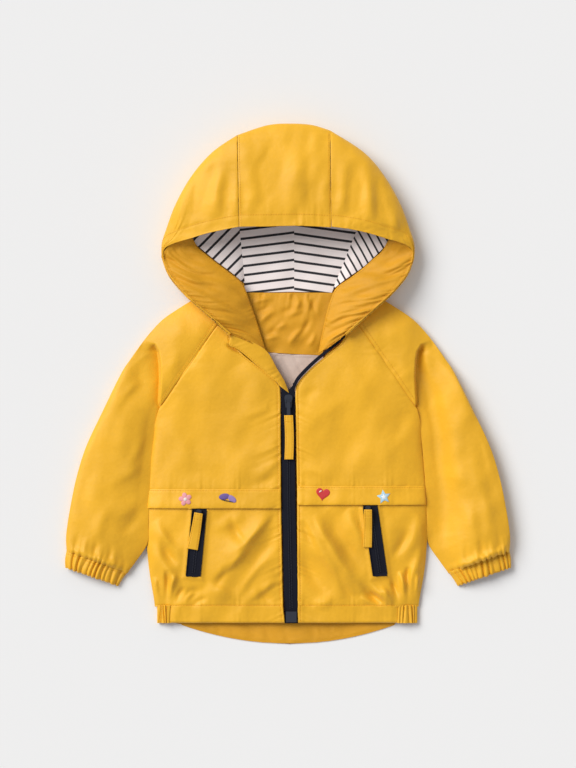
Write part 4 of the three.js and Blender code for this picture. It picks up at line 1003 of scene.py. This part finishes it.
def hoodPoint(row, q):
    crown, under = hood["crown"], hood["under"]
    turn = np.clip(q / crown, 0, 1) * math.pi / 2
    away = np.sin(turn)
    over = np.stack([mix(row["fx"], row["cx"], away), mix(row["fy"], row["cy"], away),
                     mix(row["cz"], row["fz"], np.cos(turn))], axis=-1)
    inX, inY = row["nx"] - row["cx"], row["ny"] - row["cy"]
    reach = np.hypot(inX, inY)
    bend = np.minimum(row["cz"] - row["nz"], reach * 0.5)
    tuck = np.clip((q - crown) / (under - crown), 0, 1) * math.pi / 2
    flat = np.clip((q - under) / (1 - under), 0, 1)
    back = mix(bend * (1 - np.cos(tuck)), reach, flat)
    below = np.stack([row["cx"] + inX / reach * back, row["cy"] + inY / reach * back,
                      np.maximum(0, row["cz"] - (row["cz"] - row["nz"]) * np.sin(tuck))], axis=-1)
    return np.where((q <= crown)[..., None], over, below)


def hoodGrid(rows, along, around):
    u, q = spread(shares(along, hood["pitch"]), shares(around, hood["pitch"]))
    return hoodPoint(rowAt(rows, u), q)


# The hood's own slackness, its hem along the brim and its seams.
def hoodRelief(grid, outward, seams):
    fromBrim, along = lengths(grid)
    x, y, z = (grid[..., k] for k in range(3))
    up = ease(np.clip(facing(grid)[..., 2] * outward, 0, 1) * 1.6)
    relief = 2.0 * creased(hoodCreases, x, y) + 1.2 * slack(x, y, 52, 91, 1.5, 1.4)
    relief += 0.5 * slack(x, y, 22, 92, 1.8, 1.4)
    relief *= ease(fromBrim / 10)
    for away, seed in ((fromBrim, 93), (np.abs(fromBrim - hood["brim"]), 94)):
        relief += puckers(away, along + x, 9, 0.8, 9, seed)
    relief += sewnIn(fromBrim, hood["brim"], 0.7)
    for edge in seams:
        away = along if edge == "top" else along[-1:] - along
        relief += rolled(away, hood["brimSeam"], 3) + puckers(away, fromBrim, 12, 0.4, 8, 95)
    relief = np.maximum(relief + 0.5, -0.6)  # the hood never sinks to its lining
    raised = grid.copy()
    raised[..., 2] = np.where(up > 0, np.maximum(z + relief * up, 0), z)
    return raised


def makeHood():
    right = {key: values.copy() for key, values in hoodSides.items()}
    for key, value in hood["rightSeam"].items():
        right[key][0] = value
    left = turned(hoodGrid(hoodSides, 330, 300), -1)
    parts = (("hood_side_left", left, -1, ("top",)),
             ("hood_side_right", hoodGrid(right, 330, 300), 1, ("top",)),
             ("hood_centre", hoodGrid(hoodCentre, 120, 320), 1, ("top", "bottom")))
    for name, grid, outward, seams in parts:
        grid = hoodRelief(grid, outward, seams)
        sew(seamPath(grid, outward, "first", hood["brim"]))
        if name == "hood_centre":  # its seams are sewn as far as the crown
            upper = grid[:, :int(0.46 * grid.shape[1])]
            sew(seamPath(upper, outward, "top", 2.2))
            sew(seamPath(upper, outward, "bottom", 2.2))
        makeSheet(name, grid, outward, hood["wall"], yellowShell)


makeHood()
print("hood made")

liningCentre = table(hoodNames,
    (-63, 206, 42, -73.4, 310, 25, -55.5, 119, 2.4), (-28, 206, 43, -26, 330, 25, -25, 119.5, 2.4),
    (10, 207, 43, 8, 332, 25, 8, 120, 2.4), (48, 205, 43, 68.6, 310, 25, 34, 119.5, 2.4),
    (86, 201, 41, 117, 267.6, 24, 57, 119, 2.4))
liningSides = {
    "left": table(hoodNames,
        (-62.9, 206, 42, -73.3, 310, 25, -56.5, 131, 2.6), (-84, 203, 41, -94, 291, 25, -62, 135, 6),
        (-106, 198, 38, -122, 264, 24, -75, 146, 9), (-127, 192, 33.5, -141, 229, 22, -94, 160, 11),
        (-143, 188, 27, -151, 203, 19, -112, 175, 13)),
    "right": table(hoodNames,
        (85.9, 201, 41, 116.9, 267.3, 24, 58.8, 123, 3), (100, 199, 39.5, 128, 251.7, 24, 71, 133, 10),
        (112, 196, 37.5, 137, 236.8, 23, 82, 141, 12), (128, 192, 33.5, 143.5, 222, 22, 99, 153, 13),
        (143, 188, 27, 151, 203, 19, 117, 170, 13)),
}
stripes = {"cloth": (0.88, 0.80, 0.785), "ink": (0.012, 0.012, 0.016), "pitch": 0.0118, "share": 0.27,
           "turns": {"hood_lining_centre_left": 7, "hood_lining_centre_right": -8,
                     "hood_lining_side_left": 46, "hood_lining_side_right": -62},
           "spread": {"hood_lining_side_right": 1.32}}


# Knitted stripes run along the cloth's own UV, whose second axis crosses them.
def stripedFinish():
    finish, tree, shader = newFinish("stripedLining", stripes["cloth"], 0.85)
    place = mathNode(tree, "FRACT", mathNode(tree, "DIVIDE", clothPlaces(tree)[1], stripes["pitch"]))
    apart = mathNode(tree, "ABSOLUTE", mathNode(tree, "SUBTRACT", place, 0.5))
    inked = rangeNode(tree, apart, 1, 0, stripes["share"] / 2 - 0.02, stripes["share"] / 2 + 0.02)
    feed(tree, shader, {"Base Color": blendNode(tree, stripes["cloth"], stripes["ink"], inked),
                        "Sheen Weight": 0.2})
    grained(tree, shader, noiseNode(tree, 900), 0.78, 0.92, 0.3, 0.0003)
    return finish


stripedLining = stripedFinish()


# Where each point of a hood section lies once the cloth is unrolled flat from its neck edge, turned
# so that the second axis crosses the stripes.
def unrolled(grid, rows, angle):
    step = np.linalg.norm(np.diff(grid[:, ::-1], axis=1), axis=2)
    reach = np.concatenate([np.zeros((len(grid), 1)), np.cumsum(step, axis=1)], axis=1)[:, ::-1]
    outX, outY = rows["cx"] - rows["nx"], rows["cy"] - rows["ny"]
    far = np.hypot(outX, outY)
    x = rows["nx"] + outX / far * reach
    y = rows["ny"] + outY / far * reach
    a = math.radians(angle)
    return np.stack([x * math.cos(a) + y * math.sin(a), -x * math.sin(a) + y * math.cos(a)], axis=-1)


def someRows(rows, first, last):
    return {key: values[first:last] for key, values in rows.items()}


def makeHoodLining():
    parts = {"hood_lining_centre_left": (someRows(liningCentre, 0, 3), 70, 1),
             "hood_lining_centre_right": (someRows(liningCentre, 2, 5), 70, 1),
             "hood_lining_side_left": (liningSides["left"], 110, -1),
             "hood_lining_side_right": (liningSides["right"], 90, 1)}
    for name, (rows, along, outward) in parts.items():
        u, q = spread(shares(along, hood["pitch"]), shares(290, hood["pitch"]))
        row = rowAt(rows, u)
        grid = hoodPoint(row, q)
        x, y = grid[..., 0], grid[..., 1]
        grid[..., 2] += 0.9 * slack(x, y, 34, 97, 1.4, 0.3) * ease((q - hood["under"]) / 0.2)
        grid[..., 2] = np.maximum(grid[..., 2], 1.8)
        uv = unrolled(grid, row, stripes["turns"][name]) * stripes["spread"].get(name, 1)
        makeSheet(name, grid, outward, hood["liningWall"], stripedLining,
                  uv=uv)


makeHoodLining()

# The facing is sewn to the hood's front edge (fx, fy, fz) and slopes in to the lining's edge.
facingNames = "fx fy fz sx sy sz"
facings = {
    "left": table(facingNames,
        (-142, 187, 27, -124, 190, 18), (-159.3, 169.5, 22.5, -117, 178, 16),
        (-156.8, 155.5, 23, -107, 169, 16), (-149.8, 141, 27, -93.5, 158, 16),
        (-135.8, 123.5, 33, -75, 144, 16), (-122.3, 110.5, 35, -59, 130, 15),
        (-101.8, 92.5, 35, -50, 108, 15), (-87.3, 80, 32, -44, 92, 14.5),
        (-73.3, 67, 27, -36.5, 69, 13.5), (-50.8, 55.5, 22.5, -29, 44, 13)),
    "right": table(facingNames,
        (142, 187, 27, 130, 187, 16), (159.3, 169.5, 22.5, 122, 173, 15),
        (156.8, 155.5, 23, 110, 162, 16), (149.8, 141, 27, 99, 152, 17),
        (135.8, 123.5, 33, 81, 138, 18), (122.3, 110.5, 35, 62, 124, 18),
        (101.8, 92.5, 35, 53, 103, 18), (87.3, 80, 32, 47.5, 81, 17),
        (73.8, 66, 28, 43, 60, 15), (53.8, 48.5, 24, 39, 40, 13)),
}


def makeFacing(side, sign):
    u, v = spread(shares(240, 1.7), shares(60, 1.6, sewn=(4.5, -3)))
    row = rowAt(facings[side], u)
    reach = np.hypot(row["fx"] - row["sx"], row["fy"] - row["sy"])
    meet = 1 + 3.2 / np.maximum(reach, 4)  # the outer edge meets the hood's front edge
    fx, fy = mix(row["sx"], row["fx"], meet), mix(row["sy"], row["fy"], meet)
    z = mix(row["fz"] + 1.2, row["sz"], v ** 1.9)
    grid = np.stack([mix(fx, row["sx"], v), mix(fy, row["sy"], v), z], axis=-1)
    across, along = lengths(grid)
    inward = across[:, -1:] - across
    middle = np.sin(math.pi * v) ** 0.6
    bowed = along + 5 * np.sin(across / 11 + along / 26)
    relief = 2.6 * uneven(bowed - 0.7 * across, 27, 101 + sign) * middle * np.exp(-across / 34)
    relief += 1.7 * uneven(bowed - 0.35 * across, 11, 109 + sign) * middle * np.exp(-across / 15)
    relief += 1.8 * slack(along, across, 18, 103 + sign, 1.8, 0.9) * middle
    relief += (puckers(across, along, 7, 1.1, 10, 105 + sign, -0.3)
               + puckers(inward, along, 10, 0.5, 9, 107 + sign))
    grid[..., 2] += relief + sewnIn(across, 4.5, 0.35) + rolled(inward, 0.9)
    sew(seamPath(grid, -sign, "first", 4.5), 0.04, 0.97)
    sew(seamPath(grid, -sign, "last", 2.6), 0.04, 0.97)
    # The facing takes the darker yellow: painted shade inside the hood's opening.
    makeSheet("hood_facing_" + side, grid, -sign, hood["wall"], yellowPaintedShade,
              least=3.4)


# Inside of the neck.
neckInside = {
    "sag": 0.8,  # how far the lining's edge hangs lower in its middle
    "tilt": 0.06,  # and how much it drops towards the right
    "top": 118.6, "bottom": 40.4, "left": -58, "right": 62, "seam": 3.7, "lying": 4.8, "crown": 3,
    "liningTop": 47, "liningBottom": -60, "liningHalf": 46, "liningHeight": 3.1,
    "taper": 0.72,  # the facing's width at its bottom, as a share of its top's
    "wall": 0.8,
}
neckCreases = table(creaseNames,
    (-48, 104, -18, 112, 2, 2.6, 1.8, 0.5, 0.3), (-44, 92, -22, 104, -2, 3.2, -1.6, 0.5, 0),
    (-40, 74, -14, 97, 3, 3.0, 2.0, 0.5, 0.3), (-30, 62, -6, 82, -2, 3.4, -1.6, 0.5, 0),
    (-20, 66, 0, 80, 2, 2.6, 1.9, 0.5, 0.3), (-12, 92, 10, 104, -2, 3.6, -1.5, 0.5, 0),
    (0, 50, 22, 74, 3, 2.8, 2.0, 0.5, 0.3), (10, 60, 30, 92, -3, 3.4, -1.7, 0.5, 0),
    (26, 112, 22, 88, 2, 2.8, 1.8, 0.4, 0), (34, 112, 36, 92, -2, 2.8, -1.6, 0.4, 0),
    (14, 113, 8, 94, 2, 2.8, 1.6, 0.4, 0), (36, 70, 24, 50, 2, 3.2, 1.5, 0.5, 0),
    (-34, 54, -8, 62, 2, 3.0, 1.4, 0.5, 0), (-4, 84, 24, 96, 3, 3.2, 1.3, 0.5, 0),
)


def makeNeckInside():
    n = neckInside
    v, u = spread(shares(78, 1.8), shares(104, 1.8))
    bow = 1 - (2 * u - 1) ** 2
    y = mix(n["top"], n["bottom"], v)
    x = mix(n["left"], n["right"], u) * mix(1, n["taper"], v)
    gather = n["crown"] * np.sin(math.pi * v) * bow
    down = v * (n["top"] - n["bottom"])
    gather += 1.6 * uneven(x + 0.15 * down, 8.5, 111) * np.exp(-down / 12) * ease(down / 3)
    gather += 1.6 * creased(neckCreases, x, y) + 0.7 * slack(x, y, 20, 113, 1.8, 0.7)
    y = y - n["sag"] * bow * v - n["tilt"] * x * v
    grid = np.stack([x, y, mix(n["seam"], n["lying"], ease(v * 5)) + gather], axis=-1)
    # The neck facing takes the darker yellow: painted shade deep in the neck.
    makeSheet("back_neck_facing", grid, 1, n["wall"], yellowPaintedShade,
              least=2.1)
    v, u = spread(shares(107, 2.0), shares(92, 2.0))
    y = mix(n["liningTop"], n["liningBottom"], v)
    x = mix(-n["liningHalf"], n["liningHalf"], u)
    z = n["liningHeight"] + 0.7 * uneven(x + 0.5 * y, 21, 115) + 0.4 * uneven(y - x, 13, 116)
    binding = n["bottom"] - n["tilt"] * x - n["sag"] * (1 - (x / n["right"] / 0.8) ** 2) - 1.3
    z += 1.3 * np.exp(-((y - binding) / 0.9) ** 2)
    grid = np.stack([x, y, z], axis=-1)
    # The back lining's colour is partly its own pink and partly painted shade for the V's depth.
    makeSheet("back_lining", grid, 1, n["wall"], paleLiningPaintedShade, least=1.6)


# The left front's edge turns back into the neck above the zip, from its outer fold (fx, fy) to the
# edge inside the V (sx, sy).
placketSections = table("fx fy sx sy drop lift",
    (-76.4, 54.5, -73, 68.8, 0, 3.4), (-75, 49.6, -69, 66.5, 0.3, 4.8), (-63, 43.4, -49, 56, 1.5, 3.8),
    (-36.5, 20.8, -27.5, 42.6, 4, 2.2), (-22, 8, -14, 20, 6, 2.1), (-14.5, 2.2, -5, 5, 6, 2.1),
    (-12.2, -1, 1.2, -11, 4, 2.1))


def makePlacket():
    u, v = spread(shares(95, 1.5), shares(14, 1.2))
    row = rowAt(placketSections, u)
    x, y = mix(row["fx"], row["sx"], v), mix(row["fy"], row["sy"], v)
    grid = onFront(x, y, row["lift"] - row["drop"] * v ** 1.5)
    across, along = lengths(grid)
    grid[..., 2] += 0.6 * uneven(along - across, 12, 121) * np.sin(math.pi * v) + sewnIn(across, 2.4)
    grid[..., 2] += rolled(across, 1.2, 2) + rolled(along, 1.6, 3)
    sew(seamPath(grid, 1, "first", 2.4), 0.06, 0.9)
    makeSheet("neck_placket_left", grid, 1, fronts["wall"], yellowShell)


makeFacing("left", -1)
makeFacing("right", 1)
makeNeckInside()
makePlacket()
print("hood lining and neck made")


# Stitching.
threadLook = {"colour": (0.80, 0.40, 0.010), "roughness": 0.5}


def threadFinish():
    finish, tree, shader = newFinish("sewingThread", threadLook["colour"], threadLook["roughness"])
    grained(tree, shader, noiseNode(tree, 1500, 2), 0.4, 0.62, 0.4, 0.0001)
    return finish


# One mesh of many short stitches, each a thread that comes up, lies on the cloth and goes down.
def makeStitches(name, runs, body=jacketBody):
    along = np.array([0, 0.22, 0.78, 1.0])
    rise = np.array([-0.15, stitch["height"], stitch["height"], -0.15])
    half = np.array([0.3, 0.5, 0.5, 0.3]) * stitch["width"]
    points, faces = [], []
    pitch = stitch["length"] + stitch["gap"]
    for path, normals in runs:
        step = np.concatenate([[0], np.cumsum(np.linalg.norm(np.diff(path, axis=0), axis=1))])
        starts = np.arange(0.5, step[-1] - stitch["length"], pitch)
        at = starts[:, None] + along * stitch["length"]
        place = np.stack([np.interp(at, step, path[:, k]) for k in range(3)], axis=-1)
        up = unit(np.stack([np.interp(at, step, normals[:, k]) for k in range(3)], axis=-1))
        way = unit(place[:, -1:] - place[:, :1])
        aside = unit(np.cross(np.broadcast_to(way, up.shape), up))
        middle = place + up * rise[:, None]
        ring = np.stack([middle + aside * half[:, None], middle + up * 0.18, middle - aside * half[:, None],
                         middle - up * 0.18], axis=2)
        first = sum(len(p) for p in points)
        points.append(ring.reshape(-1, 3))
        number = first + np.arange(len(starts) * 16).reshape(-1, 4, 4)
        for k in range(4):
            n = (k + 1) % 4
            side = (number[:, :-1, k], number[:, :-1, n], number[:, 1:, n], number[:, 1:, k])
            faces.append(np.stack(side, axis=-1).reshape(-1, 4))
        faces.append(number[:, 0, ::-1])
        faces.append(number[:, -1, :])
    faces = np.concatenate(faces).tolist()
    makePiece(name, np.concatenate(points), faces, [sewing], body, True)


sewing = threadFinish()
makeStitches("topstitching", stitchRuns)
print("stitching made")


# Zips.
zipLine = table("y middle", (-9, 0.2), (-160, 1.2), (-310, 4.3))
zipTape = {"sink": 2.2, "width": 17, "gap": 0.3, "wall": 1.0, "top": 1.0}
zipEdge = table("fx fy sx sy",
    (5.6, -4, 8.2, -7.2), (12.2, 9.3, 15.1, 6.6), (33.2, 30.8, 35.8, 28),
    (60.2, 52.4, 62.3, 50.1), (72.6, 63, 74, 61.2))


def zipAt(y):
    return lookup(zipLine, "y", "middle", y)


def zipHeight(y):
    return frontHeight(zipAt(y), y) - zipTape["sink"]


def onZip(across, y, lift=0.0):
    return np.stack([zipAt(y) + across, y, zipHeight(y) + lift + 0 * across], axis=-1)


zipLooks = {
    "tape": (0.0085, 0.0095, 0.018), "twill": 0.0012,
    "resin": (0.022, 0.027, 0.042),
    "chain": (0.016, 0.018, 0.030),
}


def tapeFinish():
    finish, tree, shader = newFinish("navyTape", zipLooks["tape"], 0.75)
    feed(tree, shader, {"Specular IOR Level": 0.15})
    grained(tree, shader, weaveNode(tree, zipLooks["twill"]), 0.68, 0.85, 0.5, 0.0002, -1)
    return finish


def resinFinish():
    finish, tree, shader = newFinish("zipResin", zipLooks["resin"], 0.24)
    grained(tree, shader, noiseNode(tree, 420), 0.22, 0.40, 0.3, 0.0002)
    return finish


def chainFinish():
    finish, tree, shader = newFinish("chainResin", zipLooks["chain"], 0.3)
    feed(tree, shader, {"Roughness": rangeNode(tree, noiseNode(tree, 300, 2), 0.24, 0.42)})
    return finish


navyTape, zipResin, chainResin = tapeFinish(), resinFinish(), chainFinish()


def makeZipTapes():
    half, gap = zipTape["width"] / 2, zipTape["gap"] / 2
    v, u = spread(shares(309, 1.6), shares(8.3, 0.6))
    y = mix(zipTape["top"], -310.0, v)
    part = 6.2 * ease((y + 9) / 8)  # above the slider the two tapes part into the V
    for side, start, stop in (("left", -half, -gap - part), ("right", gap + part, half)):
        makeSheet("zip_tape_" + side, onZip(mix(start, stop, u), y), 1, zipTape["wall"], navyTape)
    u, v = spread(shares(90, 1.6), shares(2.6, 0.6))
    row = rowAt(zipEdge, u)
    grid = onFront(mix(row["fx"], row["sx"], v), mix(row["fy"], row["sy"], v), 1.8)
    makeSheet("zip_tape_neck_right", grid, -1, zipTape["wall"], navyTape)


pocketZips = {
    "left": {"top": -161.6, "bottom": -249, "xTop": -114.5, "xBottom": -123, "width": 18},
    "right": {"top": -157.1, "bottom": -248.5, "xTop": 106.2, "xBottom": 119.5, "width": 17.6},
}


def makePocketZip(side, sign):
    spec = pocketZips[side]
    v, u = spread(shares(88, 1.6), shares(18, 0.8))
    x = mix(spec["xTop"], spec["xBottom"], v) + sign * (u - 0.5) * spec["width"]
    y = mix(spec["top"], spec["bottom"], v)
    grid = onFront(x, y, 1.5)
    grid[..., 2] += bodyRelief(x, y)
    makeSheet("zip_pocket_" + side, grid, sign, zipTape["wall"], navyTape)


makeZipTapes()
makePocketZip("left", -1)
makePocketZip("right", 1)
print("zips made")


# Zip chains.
chain = {"pitch": 2.0, "length": 1.25, "width": 1.9, "height": 1.0, "apart": 1.35, "taper": 0.7}


# One tooth of the chain, narrower on top.
def makeTooth():
    bpy.ops.mesh.primitive_cube_add(size=1)
    tooth = bpy.context.active_object
    tooth.name = "zip_tooth"
    bpy.ops.object.mode_set(mode="EDIT")
    bpy.ops.mesh.select_all(action="SELECT")
    bpy.ops.transform.resize(value=(chain["width"] * mm, chain["length"] * mm, chain["height"] * mm))
    bpy.ops.mesh.select_all(action="DESELECT")
    edit = bmesh.from_edit_mesh(tooth.data)
    for face in edit.faces:
        face.select_set(face.normal.z > 0.9)
    edit.select_flush(True)
    bmesh.update_edit_mesh(tooth.data)
    bpy.ops.transform.resize(value=(chain["taper"], chain["taper"], 1))
    bpy.ops.object.mode_set(mode="OBJECT")
    tooth.data.materials.append(chainResin)
    return tooth


# Copies of the tooth down both sides of a line of places with their slopes, joined in one chain.
def makeChain(name, tooth, middle):
    copies = []
    for n, (place, way) in enumerate(middle):
        turn = Matrix.Rotation(math.atan2(way[0], -way[1]), 4, "Z")
        for side in (-1, 1):
            copy = bpy.data.objects.new("%s_%d_%d" % (name, n, side), tooth.data.copy())
            nudge = Vector((side * chain["apart"] * mm, side * chain["pitch"] / 4 * mm, 0))
            copy.data.transform(Matrix.Translation(Vector(place) * mm) @ turn @ Matrix.Translation(nudge))
            scene.collection.objects.link(copy)
            copies.append(copy)
    bpy.ops.object.select_all(action="DESELECT")
    for copy in copies:
        copy.select_set(True)
    bpy.context.view_layer.objects.active = copies[0]
    bpy.ops.object.join()
    copies[0].name = name
    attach(copies[0], jacketBody)


def chainLine(place, top, bottom):
    count = int((top - bottom) / chain["pitch"])
    ys = top - chain["pitch"] * np.arange(count)
    spots = np.array([place(y) for y in ys])
    ways = np.gradient(spots, axis=0)
    return [((x, y + middleShift, z), way) for (x, y, z), way in zip(spots, ways)]


def makeChains():
    tooth = makeTooth()
    lift = chain["height"] / 2 - 0.15

    def onFrontZip(y):
        return float(zipAt(y)), y, float(zipHeight(y)) + lift

    makeChain("zip_chain_front", tooth, chainLine(onFrontZip, -34, -292))
    for side, spec in pocketZips.items():
        def onPocket(y):
            x = mix(spec["xTop"], spec["xBottom"], (spec["top"] - y) / (spec["top"] - spec["bottom"]))
            at = np.array([[x]]), np.array([[float(y)]])
            return x, y, float(onFront(*at, 1.5)[0, 0, 2] + bodyRelief(*at)[0, 0]) + lift

        line = chainLine(onPocket, spec["top"] - 12, spec["bottom"] + 3)
        makeChain("zip_chain_pocket_" + side, tooth, line)
    bpy.data.objects.remove(tooth)


makeChains()
print("zip chains made")


# Pull tabs.
# Each tab of folded cloth hangs from its puller, at (x, y) on its slider, towards (tipX, tipY).
pulls = {
    "front": {"x": 0.6, "y": -22, "tipX": 1.2, "tipY": -97.5, "seat": 0, "tab": 11.5, "tip": 11.5,
              "pivot": 5.4, "reach": 18, "over": 0, "bow": 0.9,
              "body": "front_pull", "on": "zip_tape_left_cloth"},
    "pocket_left": {"x": -115.5, "y": -166, "tipX": -124, "tipY": -214, "seat": 1.3, "tab": 11, "tip": 14.5,
                    "pivot": 4, "reach": 0.4, "over": 2.4, "bow": 0.4, "body": "left_pocket_pull",
                    "on": "zip_pocket_left_cloth"},
    "pocket_right": {"x": 103.5, "y": -161.5, "tipX": 102.8, "tipY": -211.5, "seat": 1.3, "tab": 10,
                     "tip": 11.5, "pivot": 4, "reach": 0.4, "over": 2.4, "bow": 0.3,
                     "body": "right_pocket_pull", "on": "zip_pocket_right_cloth"},
}
tabWall = 1.8
tabSeams = (("first", 1.9), ("last", 1.9), ("top", 2.0), ("top", 9.0))


def makeTab(name, pull):
    length = math.hypot(pull["tipX"] - pull["x"], pull["tipY"] - pull["y"])
    wayX, wayY = (pull["tipX"] - pull["x"]) / length, (pull["tipY"] - pull["y"]) / length
    v, u = spread(shares(length - pull["reach"], 0.8), shares(pull["tab"], 0.5))
    along = mix(pull["reach"] + 0.3, length, v)
    across = (u - 0.5) * mix(pull["tab"], pull["tip"], v) + pull["bow"] * np.sin(math.pi * v)
    x = pull["x"] + wayX * along - wayY * across
    y = pull["y"] + wayY * along + wayX * across
    base = zipHeight(pull["y"]) if name == "front" else frontHeight(pull["x"], pull["y"])
    base += pull["seat"] + 0.3
    lying = frontHeight(pull["x"] + wayX * along, y) + pull["seat"] + tabWall + 1.2
    z = mix(base + pull["pivot"] + pull["over"] + tabWall / 2, lying, ease(v * 1.6))
    grid = np.stack([x, y, z], axis=-1)
    side, down = lengths(grid)
    edge = np.minimum(side, side[:, -1:] - side)
    end = np.minimum(down, down[-1:] - down)
    grid[..., 2] -= 0.45 * np.exp(-((edge - 1.9) / 0.5) ** 2) + 0.6 * (1 - np.clip(edge / 0.9, 0, 1)) ** 2
    grid[..., 2] -= 0.4 * np.exp(-((down - 9) / 0.6) ** 2) + 0.5 * (1 - np.clip(end / 0.9, 0, 1)) ** 2
    makeSheet("pull_tab_" + name, grid, 1, tabWall, yellowShell, pull["body"])
    return [seamPath(grid, 1, edge, away) for edge, away in tabSeams]


for name, pull in pulls.items():
    makeStitches("tab_stitching_" + name, makeTab(name, pull), pull["body"])
print("pull tabs made")


# Embroidery.
# Each motif is a set of raised satin-stitched pads on the storm flap, each an outline in its thread.
threads = {"pink": (0.80, 0.33, 0.36), "cream": (0.85, 0.74, 0.66), "purple": (0.13, 0.075, 0.30),
           "lilac": (0.30, 0.20, 0.48), "red": (0.62, 0.018, 0.022), "paleBlue": (0.42, 0.66, 0.80),
           "white": (0.85, 0.88, 0.90), "dark": (0.02, 0.02, 0.03)}


def embroideryFinish(name):
    finish, tree, shader = newFinish(name + "Thread", threads[name], 0.45)
    wave = newNode(tree, "TexWave", {"Scale": 420, "Distortion": 1.2, "Vector": objectSpace(tree)})
    grained(tree, shader, wave.outputs["Fac"], 0.38, 0.6, 0.6, 0.0002)
    feed(tree, shader, {"Sheen Weight": 0.3})
    return finish


def petal(long, wide, count=28):
    turn = np.linspace(0, 2 * math.pi, count, endpoint=False)
    return np.stack([long / 2 * np.cos(turn), wide / 2 * np.sin(turn)], axis=-1)


def moved(outline, x, y, turn=0.0):
    a = math.radians(turn)
    return outline @ np.array([[math.cos(a), math.sin(a)], [-math.sin(a), math.cos(a)]]) + np.array([x, y])


def heart(size, count=40):
    t = np.linspace(0, 2 * math.pi, count, endpoint=False)
    x = 16 * np.sin(t) ** 3
    y = 13 * np.cos(t) - 5 * np.cos(2 * t) - 2 * np.cos(3 * t) - np.cos(4 * t) + 2
    return np.stack([x, y], axis=-1)[::-1] * size / 32


def star(size, points=5):
    turn = np.linspace(0, 2 * math.pi, 2 * points, endpoint=False) + math.pi / 2
    reach = np.where(np.arange(2 * points) % 2 == 0, size / 2, size / 4.2)
    return np.stack([reach * np.cos(turn), reach * np.sin(turn)], axis=-1)


motifs = {
    "flower": {"x": -133, "y": -149, "turn": 12, "pads": [
        ("pink", moved(petal(7.4, 6.2), *(5.0 * np.array([math.cos(a), math.sin(a)])), math.degrees(a)))
        for a in np.radians(np.arange(5) * 72 + 18)] + [("cream", petal(4.6, 4.6))]},
    "leaf": {"x": -78, "y": -148, "turn": -14, "pads": [
        ("purple", moved(petal(14, 8), -5, 1.2, 24)), ("lilac", moved(petal(13, 7.4), 5.4, 0.8, -24)),
        ("dark", moved(petal(17, 1.3), 0, -3.2, 2))]},
    "heart": {"x": 45, "y": -143, "turn": -8, "pads": [
        ("red", heart(18)), ("cream", moved(petal(4.4, 2.0), -3.6, 3.8, 40))]},
    "star": {"x": 124, "y": -146, "turn": 9, "pads": [
        ("paleBlue", star(19)), ("white", star(8.5))]},
}


# A place on the flap's outer face, at a height above it.
def onFlap(x, y, side, height):
    at = np.array([[x]]), np.array([[y]])
    down = fronts["flap"][side][0] + 1.2 - at[1]
    return x, y, (frontHeight(*at) + bodyRelief(*at) + flapLift(down))[0, 0] + height


padRings = ((1.0, -0.7), (1.0, 0.25), (0.95, 0.6), (0.8, 0.85), (0.45, 1.0))  # share of the outline, height
padTall = 0.9


def makeMotif(name, motif, finishes):
    side = "left" if motif["x"] < 0 else "right"
    points, faces, kinds = [], [], []
    for layer, (thread, outline) in enumerate(motif["pads"]):
        outline = moved(outline, 0, 0, motif["turn"])
        middle = outline.mean(axis=0)
        count, first = len(outline), len(points)
        top = 0.35 * layer if thread in ("cream", "white", "dark") else 0
        spots = [(spot, height * padTall) for share, height in padRings
                 for spot in middle + (outline - middle) * share]
        spots += [(middle, -0.7), (middle, 0.95)]
        for (x, y), height in spots:
            points.append(onFlap(motif["x"] + x, motif["y"] + y, side, height + min(top, 0.5)))
        last = first + (len(padRings) - 1) * count
        for k in range(count):
            n = (k + 1) % count
            for a in range(first, last, count):
                faces.append((a + k, a + n, a + count + n, a + count + k))
            faces.append((last + k, last + n, last + count + 1))
            faces.append((first + n, first + k, last + count))
        kinds += [thread] * (len(faces) - len(kinds))
    used = sorted(set(kinds))
    piece = makePiece("motif_" + name, np.array(points), faces, [finishes[thread] for thread in used],
                      jacketBody, True)
    piece.data.polygons.foreach_set("material_index", [used.index(kind) for kind in kinds])


embroideryFinishes = {name: embroideryFinish(name) for name in threads}
for name, motif in motifs.items():
    makeMotif(name, motif, embroideryFinishes)
print("embroidery made")

# What is shown as the CAD made it gets its finish.
for node in frame["nodes"]:
    piece = bpy.data.objects.get(node if isinstance(node, str) else node["name"])
    if piece and piece.type == "MESH" and not piece.hide_render and "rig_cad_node" in piece:
        piece.data.materials.clear()
        piece.data.materials.append(yellowShell if "tab" in piece.name else zipResin)
